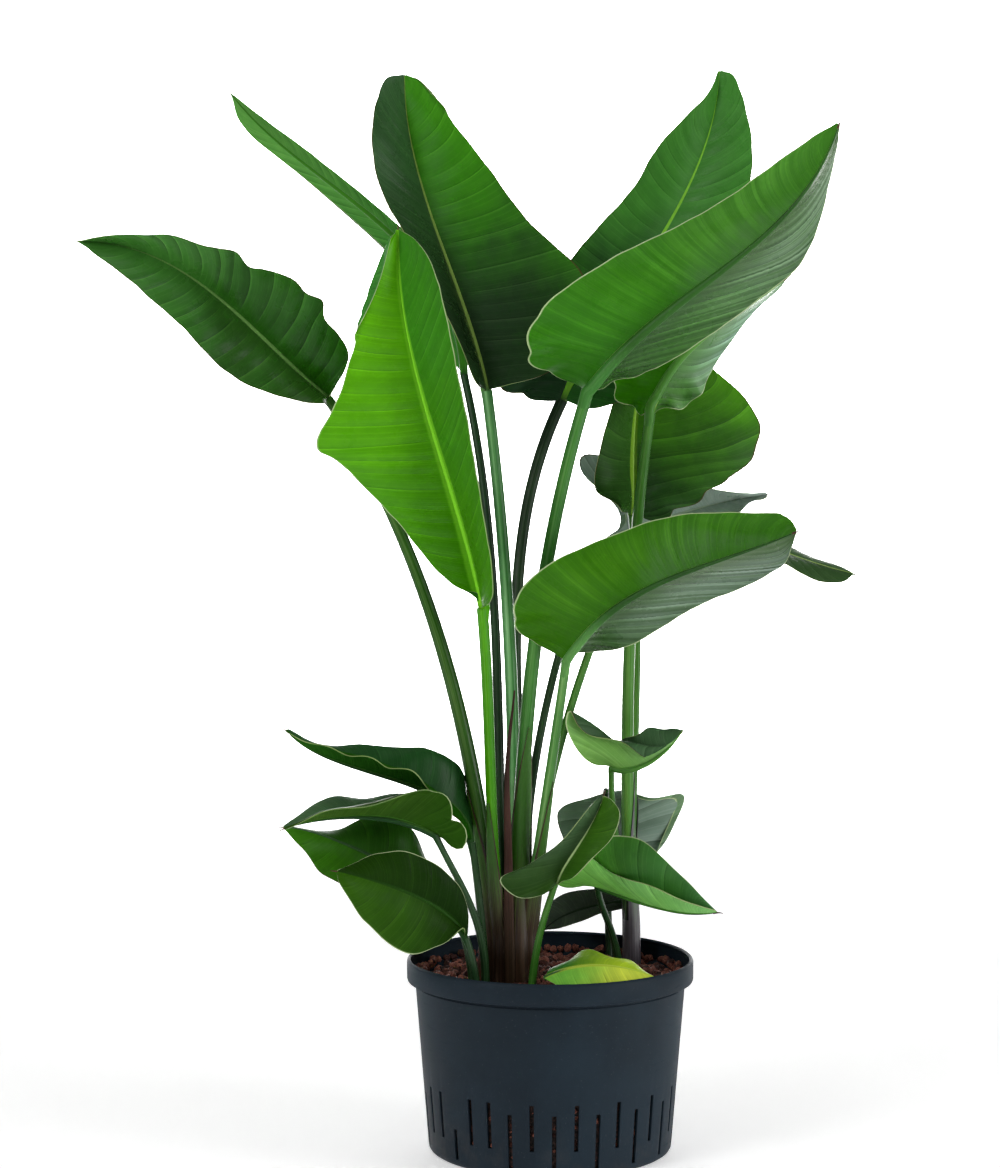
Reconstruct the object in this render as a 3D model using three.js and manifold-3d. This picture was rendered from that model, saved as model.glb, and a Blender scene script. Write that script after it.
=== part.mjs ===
// A potted bird of paradise: a slotted plastic pot of clay granules, in which a main clump and a
// side shoot stand, with twenty growing leaves and one yellow leaf that has dropped.
// Millimetres, +Z up. The origin is the centre of the pot's underside, and -Y is the front.

import * as THREE from 'three';
import { mergeVertices } from 'three/addons/utils/BufferGeometryUtils.js';
import Module from 'manifold-3d';

const wasm = await Module();
wasm.setup();

// Driving dimensions

const GAP = 0.3; // between pieces that touch
const BEYOND = 1300; // larger than the plant, for boxes that cut

const POT = {
  height: 190,
  rimRadius: 140,
  bandHeight: 23, // the band round the rim
  bandLip: 3, // how far the top of the band is drawn in
  bodyRadius: 132, // just under the band
  footRadius: 119,
  footCorner: 6, // height of the rounded corner at the foot
  wall: 2.6,
  floor: 3,
  segments: 60,
};

const SLOT = {
  width: 4,
  depth: 24, // of the cut, through the whole wall
  turn: 1, // degrees that the front slot stands off the middle
  kinds: 'lhlhlhlhlhlhlhlhlhlhlhlhlhlhlhhshhlh', // from the front slot round, see ends
  ends: { h: [26, 71], l: [8, 61], s: [8, 38] }, // high, low and short: lower and upper end
};

const BED = {
  level: 171, // mean height of the granules
  relief: 3.5, // how far a granule stands above or below it
  rings: 11,
  seed: 11,
};

const CLUMP = {
  centre: [-39, -12],
  halfWidth: [25, 27], // of the root collar, across and front to back
  taper: 0.8, // of the collar's top, against its bottom
  bottom: 146,
  collarTop: 236,
  top: 300, // the sheaths end here and the free stems go on
  swell: 3, // what the sheaths add to the stems' radii at the bottom
};

const SHOOT = {
  centre: [82, 66],
  radius: 9,
  bottom: 146,
  collarTop: 215,
  top: 330,
  swell: 1,
};

// An old dry sheath that stands up from the front of the main clump

const OLD_SHEATH = {
  path: [[-40, -36, 180], [-42, -38, 290], [-43, -36, 380], [-35, -33, 455]],
  halfWidth: 6,
  halfDepth: 2,
};

const STEM = {
  sides: 8,
  step: 55, // between its rings of points
  leastSteps: 5,
  sheath: 0.5, // what the lowest sheaths add to its radius all the way down
};

const BLADE = {
  thickness: 0.9,
  start: 0.04, // share of the margins at which the blade begins
  end: 0.985, // share at which it is cut to a fine tip
  columns: [0.08, 0.4, 0.72, 1], // from the midrib to the margin
  ripples: 3, // waves along a margin
  row: 34, // between rows of points along the midrib
  leastRows: 6,
  keelTip: 0.2, // share of the midrib's depth that is left at the tip
};

// Every leaf: its midrib as the four points of one curve from the base to the tip, its margins
// as the points that they pass through, and the size of its midrib and waves. Its stem is the
// other three points of a curve that runs down from the midrib's base, with the radius at the
// top and at the foot, and its end stands off the midrib's base by the seat.
// Left and right are as seen on the upper face with the tip up.

const LEAVES = {
  rolled: {
    rib: [[-85, 92, 758], [-90, 102, 897], [-249, 118, 945], [-320, 144, 1040]],
    left: [[-97, 126, 780], [-118, 137, 835], [-161, 145, 886], [-236, 158, 950], [-302, 150, 1000]],
    right: [[-77, 127, 787], [-91, 141, 838], [-151, 151, 907], [-236, 162, 977], [-297, 151, 1022]],
    keel: 4, wave: 1, arch: 0.1,
    stem: [[-44, 36, 585], [-53, 28, 396], [-46, 2, 216]],
    thick: [4, 5.5], seat: 0.5,
  },
  tall_left: {
    rib: [[-62, 20, 743], [-84, 34, 847], [-144, 47, 945], [-143, 72, 1052]],
    left: [[-74, -23, 753], [-95, -16, 805], [-128, -7, 870], [-161, 3, 930], [-173, 13, 988],
      [-162, 55, 1035]],
    right: [[-41, 7, 748], [1, 11, 762], [37, 31, 801], [31, 37, 856], [-25, 33, 911], [-84, 43, 991],
      [-124, 68, 1040]],
    keel: 4, wave: 2, arch: 0.08,
    stem: [[-39, 8, 567], [-32, 3, 393], [-37, -8, 218]],
    thick: [5.5, 7], seat: 0.8,
  },
  front_left: {
    rib: [[-66, -70, 538], [-87, -86, 657], [-148, -109, 770], [-144, -96, 894]],
    left: [[-85, -85, 558], [-144, -95, 618], [-198, -103, 675], [-220, -104, 693], [-198, -110, 742],
      [-176, -112, 816], [-156, -110, 872]],
    right: [[-60, -114, 550], [-63, -122, 609], [-70, -129, 666], [-87, -139, 757], [-100, -142, 820],
      [-118, -113, 872]],
    keel: 4, wave: 2, arch: 0.08,
    stem: [[-57, -52, 432], [-60, -47, 326], [-49, -26, 221]],
    thick: [5.5, 5], seat: 0.5,
  },
  far_left: {
    rib: [[-216, 10, 735], [-287, -5, 794], [-346, -34, 887], [-450, -50, 884]],
    left: [[-220, -21, 730], [-256, -28, 736], [-308, -40, 759], [-361, -58, 814], [-418, -64, 862]],
    right: [[-194, -14, 772], [-215, -22, 818], [-248, -31, 855], [-292, -40, 865], [-359, -54, 889],
      [-418, -63, 889]],
    keel: 4, wave: 4, arch: 0.1,
    stem: [[-113, -12, 580], [-71, -45, 402], [-55, -18, 219]],
    thick: [5, 9], seat: 1.8,
  },
  tall_right: {
    rib: [[13, 75, 733], [64, 109, 842], [167, 125, 936], [172, 156, 1064]],
    left: [[-5, 63, 733], [-45, 88, 746], [-34, 98, 797], [22, 98, 873], [83, 113, 943],
      [111, 122, 988], [157, 134, 1036]],
    right: [[48, 63, 725], [114, 78, 757], [162, 93, 832], [195, 107, 911], [203, 126, 992],
      [193, 151, 1049]],
    keel: 4, wave: 2, arch: 0.08,
    stem: [[-66, 53, 574], [-17, 19, 385], [-33, 8, 215]],
    thick: [6, 5.5], seat: 3.2,
  },
  front_right: {
    rib: [[34, -40, 740], [98, -71, 838], [228, -114, 868], [261, -146, 988]],
    left: [[59, -6, 749], [98, -17, 762], [146, -34, 793], [202, -55, 833], [239, -71, 871],
      [259, -99, 940]],
    right: [[24, -19, 749], [-6, -26, 762], [-24, -57, 781], [-7, -67, 822], [57, -66, 868],
      [142, -88, 910], [222, -137, 965]],
    keel: 4.5, wave: 1.5, arch: 0.08,
    stem: [[-18, -43, 570], [-29, -10, 395], [-33, -22, 220]],
    thick: [6, 8], seat: 1.5,
  },
  side_upper: {
    rib: [[98, 26, 722], [116, 35, 787], [183, 30, 814], [231, 38, 852]],
    left: [[107, 57, 722], [143, 60, 732], [162, 62, 766], [194, 64, 811], [222, 53, 839]],
    right: [[89, 51, 720], [63, 44, 741], [73, 54, 780], [128, 57, 826], [191, 51, 850]],
    keel: 4, wave: 2, arch: 0.1,
    stem: [[75, 54, 554], [74, 65, 385], [82, 66, 214]],
    thick: [5, 7], seat: 2.5,
  },
  side_middle: {
    rib: [[83, 92, 618], [84, 100, 683], [77, 115, 751], [120, 124, 807]],
    left: [[67, 54, 627], [46, 58, 646], [50, 63, 683], [62, 70, 728], [86, 78, 772]],
    right: [[110, 79, 614], [162, 84, 639], [203, 106, 672], [214, 109, 699], [163, 101, 754],
      [139, 113, 787]],
    keel: 4, wave: 2, arch: 0.08,
    stem: [[95, 91, 481], [80, 79, 348], [83, 72, 213]],
    thick: [4, 4.5], seat: 1.6,
  },
  mid_right: {
    rib: [[14, -60, 485], [59, -77, 567], [152, -118, 578], [225, -146, 614]],
    left: [[31, -19, 489], [71, -30, 497], [138, -56, 537], [186, -75, 560], [217, -116, 586]],
    right: [[-3, -39, 495], [-28, -46, 511], [-36, -74, 540], [-13, -82, 572], [46, -75, 603],
      [128, -97, 628], [200, -140, 631]],
    keel: 4, wave: 1.5, arch: 0.08,
    stem: [[2, -47, 395], [-11, -28, 308], [-22, -20, 220]],
    thick: [4.5, 6], seat: 0.7,
  },
  back_right: {
    rib: [[45, 165, 581], [103, 170, 606], [162, 170, 628], [225, 172, 635]],
    left: [[35, 151, 625], [37, 168, 668], [78, 160, 669], [144, 154, 645], [195, 155, 638]],
    right: [[65, 155, 559], [109, 157, 564], [160, 158, 599], [201, 159, 622]],
    keel: 3.5, wave: 3, arch: 0.1,
    stem: [[3, 104, 465], [-30, 30, 352], [-25, 12, 214]],
    thick: [4, 4.5], seat: 4,
  },
  drooping: {
    rib: [[59, -20, 549], [163, -3, 642], [188, 11, 588], [297, 12, 564]],
    left: [[88, 17, 577], [147, 30, 606], [206, 40, 602], [255, 31, 575]],
    right: [[90, -44, 562], [142, -39, 585], [201, -28, 590], [253, -7, 569]],
    keel: 3.5, wave: 2, arch: 0.1,
    stem: [[19, 14, 443], [-14, 16, 331], [-20, 2, 216]],
    thick: [4, 4.5], seat: 2.6,
  },
  low_left_upper: {
    rib: [[-76, -46, 310], [-83, -53, 382], [-212, -85, 373], [-250, -108, 426]],
    left: [[-98, -90, 349], [-117, -98, 373], [-147, -108, 389], [-187, -118, 405], [-217, -117, 409]],
    right: [[-79, -18, 349], [-88, -34, 379], [-121, -50, 402], [-164, -53, 402], [-205, -72, 407],
      [-237, -96, 418]],
    keel: 3, wave: 2, arch: 0.1,
    stem: [[-70, -47, 267], [-65, -42, 225], [-62, -34, 160]],
    thick: [3.5, 4], seat: 1.2,
  },
  low_left_middle: {
    rib: [[-110, -90, 324], [-151, -106, 349], [-207, -114, 348], [-251, -132, 336]],
    left: [[-85, -95, 314], [-94, -102, 351], [-111, -106, 370], [-148, -130, 363], [-201, -141, 354],
      [-232, -135, 343]],
    right: [[-114, -66, 342], [-139, -73, 358], [-179, -82, 359], [-224, -101, 355]],
    keel: 3, wave: 2, arch: 0.1,
    stem: [[-91, -79, 276], [-58, -55, 239], [-64, -58, 160]],
    thick: [3, 4], seat: 3,
  },
  low_left_back: {
    rib: [[-111, -58, 270], [-159, -72, 291], [-202, -84, 324], [-252, -104, 333]],
    left: [[-139, -77, 257], [-177, -86, 268], [-213, -96, 285], [-237, -107, 314]],
    right: [[-118, -40, 290], [-140, -49, 328], [-173, -57, 336], [-205, -66, 324], [-235, -84, 329]],
    keel: 3, wave: 2, arch: 0.1,
    stem: [[-89, -65, 246], [-77, -67, 216], [-74, -66, 160]],
    thick: [3, 4], seat: 0.6,
  },
  low_left_round: {
    rib: [[-81, -88, 225], [-102, -104, 266], [-160, -122, 284], [-201, -140, 297]],
    left: [[-85, -106, 237], [-105, -114, 222], [-138, -123, 217], [-175, -137, 249], [-196, -144, 283]],
    right: [[-80, -90, 257], [-100, -101, 290], [-131, -111, 309], [-162, -120, 311], [-187, -128, 302]],
    keel: 3, wave: 1, arch: 0.1,
    stem: [[-76, -86, 209], [-72, -85, 194], [-70, -82, 160]],
    thick: [3, 4], seat: 1.4,
  },
  low_right_front: {
    rib: [[45, -30, 265], [81, -50, 253], [120, -71, 240], [157, -92, 250]],
    left: [[38, -16, 280], [31, -45, 310], [77, -59, 317], [105, -70, 300], [133, -83, 273]],
    right: [[20, -38, 268], [13, -43, 284], [30, -49, 297], [58, -59, 282], [103, -92, 271],
      [139, -92, 256]],
    keel: 3, wave: 2, arch: 0.1,
    stem: [[49, -7, 233], [65, 34, 215], [71, 44, 160]],
    thick: [3, 4], seat: 4.3,
  },
  low_right_curled: {
    rib: [[4, -72, 274], [17, -82, 303], [40, -82, 328], [49, -84, 360]],
    left: [[-8, -84, 266], [-32, -77, 262], [-50, -79, 279], [-21, -81, 294], [12, -92, 321],
      [36, -92, 351]],
    right: [[20, -98, 284], [36, -101, 301], [57, -104, 323], [64, -102, 344], [57, -91, 356]],
    keel: 3, wave: 2, arch: 0.1,
    stem: [[-8, -70, 240], [-17, -60, 207], [-19, -58, 160]],
    thick: [3, 4], seat: 2.9,
  },
  side_small: {
    rib: [[60, 12, 375], [88, -2, 366], [115, 4, 391], [130, 14, 411]],
    left: [[65, 30, 383], [74, 16, 403], [93, 15, 411], [114, 19, 412]],
    right: [[41, 7, 379], [23, -5, 399], [17, -9, 422], [37, -6, 406], [68, -2, 401], [93, 4, 387],
      [115, 11, 395]],
    keel: 2.5, wave: 1, arch: 0.1,
    stem: [[59, 31, 319], [73, 66, 273], [79, 66, 214]],
    thick: [3, 3.5], seat: 3.2,
  },
  low_back: {
    rib: [[59, 118, 335], [61, 110, 302], [65, 105, 270], [74, 98, 239]],
    left: [[74, 92, 340], [104, 89, 334], [137, 109, 334], [125, 106, 301], [97, 85, 264]],
    right: [[46, 102, 334], [17, 98, 325], [9, 96, 312], [19, 92, 283], [45, 88, 251]],
    keel: 3, wave: 2, arch: 0.1,
    stem: [[56, 146, 350], [60, 130, 240], [62, 94, 160]],
    thick: [3, 4], seat: 7.5,
  },
  low_dark: {
    rib: [[77, 84, 231], [49, 86, 224], [18, 88, 222], [-4, 90, 200]],
    left: [[91, 85, 227], [67, 80, 222], [40, 78, 214], [13, 80, 204]],
    right: [[91, 94, 232], [64, 98, 238], [27, 100, 238], [-4, 94, 222]],
    keel: 2.5, wave: 1, arch: 0.1,
    stem: [[86, 94, 215], [82, 94, 195], [78, 95, 160]],
    thick: [2.5, 3.5], seat: 5,
  },
  fallen: {
    rib: [[-7, -62, 184], [26, -71, 200], [66, -83, 200], [100, -88, 186]],
    left: [[4, -40, 187], [30, -46, 202], [64, -55, 201], [87, -74, 190]],
    right: [[-2, -80, 173.5], [17, -86, 172.5], [54, -96, 172.5], [82, -96, 173.5]],
    keel: 2, wave: 1, arch: 0.1,
  },
};

// Stems whose sheaths wrap each other in the clump, and those that make the side shoot

const IN_CLUMP = ['rolled', 'tall_left', 'front_left', 'far_left', 'tall_right', 'front_right',
  'mid_right', 'back_right', 'drooping'];
const IN_SHOOT = ['side_upper', 'side_middle', 'side_small'];

const COLOUR = {
  pot: 0x242c36,
  granules: 0x86523f,
  blade: 0x2f7a1e,
  stem: 0x4c9a2f,
  sheath: 0x5a4034,
  yellow: 0xb4c832,
};

// Helpers

const vec = (p) => new THREE.Vector3(...p);

function finish(name, geometry, colour, roughness) {
  geometry.computeVertexNormals();
  const material = new THREE.MeshStandardMaterial({ color: colour, roughness, metalness: 0 });
  const mesh = new THREE.Mesh(geometry, material);
  mesh.name = name;
  return mesh;
}

function solid(geometry) {
  const bare = geometry.clone();
  bare.deleteAttribute('normal');
  bare.deleteAttribute('uv');
  const merged = mergeVertices(bare, 1e-4);
  return new wasm.Manifold(new wasm.Mesh({
    numProp: 3,
    vertProperties: new Float32Array(merged.attributes.position.array),
    triVerts: new Uint32Array(merged.index.array),
  }));
}

function geometryOf(manifold) {
  const mesh = manifold.getMesh();
  const geometry = new THREE.BufferGeometry();
  geometry.setAttribute('position', new THREE.BufferAttribute(mesh.vertProperties, 3));
  geometry.setIndex(new THREE.BufferAttribute(mesh.triVerts, 1));
  return geometry;
}

const boxAbove = (z) => new THREE.BoxGeometry(BEYOND, BEYOND, BEYOND).translate(0, 0, z + BEYOND / 2);
const boxBelow = (z) => new THREE.BoxGeometry(BEYOND, BEYOND, BEYOND).translate(0, 0, z - BEYOND / 2);

function seededRandom(seed) {
  let state = seed;
  return () => {
    state = (state * 16807) % 2147483647;
    return state / 2147483647;
  };
}

// A cylinder bent along a curve: its radii across and front to back at each share of the way

function bentCylinder(curve, radiiAt, sides, steps) {
  const geometry = new THREE.CylinderGeometry(1, 1, 1, sides, steps);
  const position = geometry.attributes.position;
  const front = new THREE.Vector3(0, 1, 0);
  for (let i = 0; i < position.count; i += 1) {
    const share = THREE.MathUtils.clamp(position.getY(i) + 0.5, 0, 1);
    const along = curve.getTangent(share);
    const across = new THREE.Vector3().crossVectors(front, along).normalize();
    const depth = new THREE.Vector3().crossVectors(along, across);
    const [wide, deep] = radiiAt(share);
    const point = curve.getPoint(share)
      .addScaledVector(across, position.getZ(i) * wide)
      .addScaledVector(depth, position.getX(i) * deep);
    position.setXYZ(i, point.x, point.y, point.z);
  }
  return geometry;
}

// Pot

const bandBottom = POT.height - POT.bandHeight;
const rimInner = POT.rimRadius - POT.bandLip - POT.wall;
const innerProfile = [
  [POT.footRadius - POT.wall, POT.floor],
  [POT.bodyRadius - POT.wall, bandBottom - POT.wall],
  [rimInner, bandBottom + POT.wall],
  [rimInner, POT.height],
];

function makePot() {
  const outline = [
    [0, 0],
    [POT.footRadius - POT.footCorner, 0],
    [POT.footRadius - POT.footCorner * 0.3, POT.footCorner * 0.3],
    [POT.footRadius, POT.footCorner],
    [POT.bodyRadius, bandBottom],
    [POT.rimRadius - 1, bandBottom],
    [POT.rimRadius, bandBottom + 1],
    [POT.rimRadius, POT.height - POT.bandLip],
    [POT.rimRadius - POT.bandLip, POT.height],
    ...innerProfile.toReversed(),
    [0, POT.floor],
  ];
  const lathe = new THREE.LatheGeometry(outline.map(([r, z]) => new THREE.Vector2(r, z)), POT.segments);
  let pot = solid(lathe.rotateX(Math.PI / 2));
  for (let i = 0; i < SLOT.kinds.length; i += 1) {
    const [low, high] = SLOT.ends[SLOT.kinds[i]];
    const angle = THREE.MathUtils.degToRad(SLOT.turn + (360 / SLOT.kinds.length) * i);
    const slot = new THREE.BoxGeometry(SLOT.width, SLOT.depth, high - low);
    slot.translate(0, -POT.footRadius, (low + high) / 2).rotateZ(angle);
    pot = pot.subtract(solid(slot));
  }
  return finish('pot', geometryOf(pot), COLOUR.pot, 0.45);
}

// Stems: each curve runs from the blade down

const stemCurve = (leaf) => new THREE.CubicBezierCurve3(...[leaf.rib[0], ...leaf.stem].map(vec));

// The height down to which a stem stands free of the sheaths round it

function sheathTop(name) {
  if (IN_CLUMP.includes(name)) return CLUMP.top;
  if (IN_SHOOT.includes(name)) return SHOOT.top;
  return 0;
}

// A whole stem. For the hole that it stands in it is grown a little.

function wholeStem(leaf, grow) {
  const curve = stemCurve(leaf);
  const length = curve.getLength();
  const cut = leaf.seat / length;
  const part = new THREE.Curve();
  part.getPoint = (share) => curve.getPoint(cut + (1 - cut) * share);
  part.getTangent = (share) => curve.getTangent(cut + (1 - cut) * share);
  const [top, foot] = leaf.thick;
  const radiiAt = (share) => {
    const radius = top + (foot - top) * share + grow;
    return [radius, radius];
  };
  const steps = Math.max(STEM.leastSteps, Math.round(length / STEM.step));
  return bentCylinder(part, radiiAt, STEM.sides, steps);
}

function makeStem(name, leaf) {
  let stem = solid(wholeStem(leaf, 0));
  const below = sheathTop(name);
  if (below > 0) stem = stem.subtract(solid(boxBelow(below + GAP)));
  return finish(`stem_${name}`, geometryOf(stem), COLOUR.stem, 0.5);
}

// The foot of a clump: the lower parts of its stems, widened into sheaths and grown together,
// over one plain root collar that stands in the granules

function makeFoot(name, members, size, extras) {
  let foot = solid(collarOf(size, 0));
  for (const key of members) {
    const curve = stemCurve(LEAVES[key]);
    const widest = LEAVES[key].thick[1] + STEM.sheath;
    const end = curve.getPoint(1).z;
    const radiiAt = (share) => {
      const down = (size.top - curve.getPoint(share).z) / (size.top - end);
      const radius = widest + size.swell * THREE.MathUtils.clamp(down, 0, 1);
      return [radius, radius];
    };
    foot = foot.add(solid(bentCylinder(curve, radiiAt, STEM.sides, STEM.sides)));
  }
  foot = foot.subtract(solid(boxAbove(size.top)));
  for (const extra of extras) foot = foot.add(solid(extra));
  return finish(name, geometryOf(foot), COLOUR.sheath, 0.6);
}

// The root collar of the main clump or the side shoot, or the hole for it

function collarOf(size, grow) {
  const [wide, deep] = size.halfWidth ?? [size.radius, size.radius];
  const bottom = size.bottom - grow;
  const height = size.collarTop - bottom;
  return new THREE.CylinderGeometry(size.taper ?? 1, 1, height, 20, 1)
    .rotateX(Math.PI / 2)
    .scale(wide + grow, deep + grow, 1)
    .translate(...size.centre, bottom + height / 2);
}

function oldSheath() {
  const curve = new THREE.CatmullRomCurve3(OLD_SHEATH.path.map(vec));
  const radiiAt = (share) => {
    const narrow = 1 - 0.8 * share * share;
    return [OLD_SHEATH.halfWidth * narrow, OLD_SHEATH.halfDepth * narrow];
  };
  return bentCylinder(curve, radiiAt, STEM.sides, STEM.sides);
}

// Blades

function pointAndSide(leaf, share) {
  const rib = new THREE.CubicBezierCurve3(...leaf.rib.map(vec));
  const base = leaf.rib[0];
  const tip = leaf.rib[3];
  const margin = (points) => {
    const all = [base, ...points, tip].map(vec);
    return new THREE.CatmullRomCurve3(all, false, 'catmullrom');
  };
  const ribShare = (share - BLADE.start) / (1 - BLADE.start);
  return {
    rib: rib.getPointAt(ribShare),
    along: rib.getTangentAt(ribShare),
    left: margin(leaf.left).getPointAt(share),
    right: margin(leaf.right).getPointAt(share),
  };
}

function crossSection(leaf, share) {
  const { rib, along, left, right } = pointAndSide(leaf, share);
  const across = new THREE.Vector3().subVectors(right, left);
  const up = new THREE.Vector3().crossVectors(across, along).normalize();
  const half = (end, side) => BLADE.columns.map((s) => {
    const reach = new THREE.Vector3().subVectors(end, rib);
    const turn = 2 * Math.PI * (BLADE.ripples * share + side * 0.25);
    const lift = leaf.arch * reach.length() * 4 * s * (1 - s) + leaf.wave * s * s * Math.sin(turn);
    return rib.clone().addScaledVector(reach, s).addScaledVector(up, lift);
  });
  return [...half(left, -1).reverse(), rib, ...half(right, 1)];
}

function makeBlade(name, leaf, colour) {
  const length = new THREE.CubicBezierCurve3(...leaf.rib.map(vec)).getLength();
  const rows = Math.max(BLADE.leastRows, Math.round(length / BLADE.row));
  const grid = Array.from({ length: rows + 1 }, (_, i) => {
    return crossSection(leaf, THREE.MathUtils.mapLinear(i, 0, rows, BLADE.start, BLADE.end));
  });
  const columns = grid[0].length;
  const middle = (columns - 1) / 2;
  const positions = [];
  for (const face of [1, -1]) {
    grid.forEach((row, r) => row.forEach((point, c) => {
      const after = [grid[Math.min(r + 1, rows)][c], row[Math.min(c + 1, columns - 1)]];
      const before = [grid[Math.max(r - 1, 0)][c], row[Math.max(c - 1, 0)]];
      const along = new THREE.Vector3().subVectors(after[0], before[0]);
      const across = new THREE.Vector3().subVectors(after[1], before[1]);
      const up = new THREE.Vector3().crossVectors(across, along).normalize();
      const ribDepth = THREE.MathUtils.mapLinear(r, 0, rows, leaf.keel, leaf.keel * BLADE.keelTip);
      const depth = BLADE.thickness / 2 + (face < 0 && c === middle ? ribDepth : 0);
      positions.push(...point.clone().addScaledVector(up, face * depth).toArray());
    }));
  }
  const lower = (rows + 1) * columns;
  const at = (r, c) => r * columns + c;
  const index = [];
  for (let r = 0; r < rows; r += 1) {
    for (let c = 0; c < columns - 1; c += 1) {
      const [p, q, s, t] = [at(r, c), at(r, c + 1), at(r + 1, c + 1), at(r + 1, c)];
      index.push(p, q, s, p, s, t);
      index.push(...[p, s, q, p, t, s].map((corner) => lower + corner));
    }
  }
  const edge = [];
  for (let c = 0; c < columns - 1; c += 1) edge.push(at(0, c));
  for (let r = 0; r < rows; r += 1) edge.push(at(r, columns - 1));
  for (let c = columns - 1; c > 0; c -= 1) edge.push(at(rows, c));
  for (let r = rows; r > 0; r -= 1) edge.push(at(r, 0));
  edge.forEach((from, i) => {
    const to = edge[(i + 1) % edge.length];
    index.push(to, from, lower + from, to, lower + from, lower + to);
  });
  const geometry = new THREE.BufferGeometry();
  geometry.setAttribute('position', new THREE.Float32BufferAttribute(positions, 3));
  geometry.setIndex(index);
  return finish(`blade_${name}`, geometry, colour, 0.4);
}

// Granules: a bed that fills the pot, its top broken into granules, with a plain hole for every stem

function makeGranules() {
  const random = seededRandom(BED.seed);
  const [floorEdge, shoulderEdge] = innerProfile;
  const bedRadius = (z) => THREE.MathUtils
    .mapLinear(z, floorEdge[1], shoulderEdge[1], floorEdge[0], shoulderEdge[0]) - GAP;
  const outline = [[0, POT.floor + GAP]];
  for (const z of [POT.floor + GAP, innerProfile[1][1] - GAP]) outline.push([bedRadius(z), z]);
  const rim = innerProfile[2][0] - GAP;
  outline.push([rim, innerProfile[2][1] + 2 * GAP]);
  for (let i = 1; i < BED.rings; i += 1) outline.push([rim * (1 - i / BED.rings), BED.level]);
  outline.push([0, BED.level]);
  const lathe = new THREE.LatheGeometry(outline.map(([r, z]) => new THREE.Vector2(r, z)), POT.segments)
    .rotateX(Math.PI / 2);
  lathe.deleteAttribute('normal');
  lathe.deleteAttribute('uv');
  const bed = mergeVertices(lathe, 1e-3);
  const position = bed.attributes.position;
  for (let i = 0; i < position.count; i += 1) {
    if (position.getZ(i) > BED.level - 0.01) {
      position.setZ(i, BED.level + BED.relief * (2 * random() - 1));
    }
  }
  let granules = solid(bed);
  for (const size of [CLUMP, SHOOT]) granules = granules.subtract(solid(collarOf(size, GAP)));
  for (const [name, leaf] of Object.entries(LEAVES)) {
    if (leaf.stem && sheathTop(name) === 0) {
      const hole = wholeStem(leaf, 1.5 * GAP).translate(0, 0, -GAP);
      granules = granules.subtract(solid(hole));
    }
  }
  return finish('clay_granules', geometryOf(granules), COLOUR.granules, 0.95);
}

// The whole plant

const plant = new THREE.Group();
plant.add(makePot(), makeGranules());
plant.add(makeFoot('clump_foot', IN_CLUMP, CLUMP, [oldSheath()]));
plant.add(makeFoot('shoot_foot', IN_SHOOT, SHOOT, []));
for (const [name, leaf] of Object.entries(LEAVES)) {
  plant.add(makeBlade(name, leaf, name === 'fallen' ? COLOUR.yellow : COLOUR.blade));
  if (leaf.stem) plant.add(makeStem(name, leaf));
}

export default plant;
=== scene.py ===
# %% [markdown]
# A potted bird of paradise
#
# The plant has long paddle-shaped leaves on bare stalks. The stalks rise from one clump, and a
# thinner side shoot stands behind it to the right. It grows in a round plastic growing pot with
# slots round its foot, filled with reddish clay granules.
#
# Everything is in metres. The origin is the middle of the pot's underside, Z is up and -Y is the
# front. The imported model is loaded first: each piece made below takes the place of one of its
# nodes and keeps that node's place.

# %% Load the frame
import math
import random

import bmesh
import bpy
import numpy as np
from mathutils import Matrix, Vector


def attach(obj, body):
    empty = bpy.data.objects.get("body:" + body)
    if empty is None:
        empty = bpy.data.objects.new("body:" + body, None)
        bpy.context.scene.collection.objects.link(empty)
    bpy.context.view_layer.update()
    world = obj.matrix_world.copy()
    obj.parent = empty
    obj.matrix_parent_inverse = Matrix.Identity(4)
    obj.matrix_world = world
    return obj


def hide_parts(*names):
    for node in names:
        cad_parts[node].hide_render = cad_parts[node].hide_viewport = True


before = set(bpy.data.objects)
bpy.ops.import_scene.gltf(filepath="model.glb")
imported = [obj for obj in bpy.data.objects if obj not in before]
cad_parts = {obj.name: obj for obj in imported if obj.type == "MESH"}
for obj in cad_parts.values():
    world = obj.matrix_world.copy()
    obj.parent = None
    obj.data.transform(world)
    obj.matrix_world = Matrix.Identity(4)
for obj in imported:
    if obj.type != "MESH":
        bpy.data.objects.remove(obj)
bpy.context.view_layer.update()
scene = bpy.context.scene
print("nodes in the frame:", len(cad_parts))

# %% [markdown]
# Camera
#
# The photograph was taken from about three metres, a little above the middle of the plant and
# looking slightly down: the pot's rim is seen as a flat ellipse. A long lens keeps the leaves
# free of strong perspective. The place was found from the rim's ellipse.

# %% Camera
camera_data = bpy.data.cameras.new("camera")
camera_data.sensor_width = 36
camera_data.lens = 95.55
camera = bpy.data.objects.new("camera", camera_data)
camera.location = (-0.049, -3.0, 0.765)
camera.rotation_euler = (math.radians(86), 0, 0)
scene.collection.objects.link(camera)
scene.camera = camera
print("camera at", tuple(camera.location))

# %% [markdown]
# Studio
#
# The plant stood in front of plain white. One white sheet runs along the floor and up behind
# it, which is how a studio hides the horizon. Large soft lamps stand on both sides and above,
# and the sheet has lamps of its own, so that it stays white without flooding the leaves.

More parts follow.
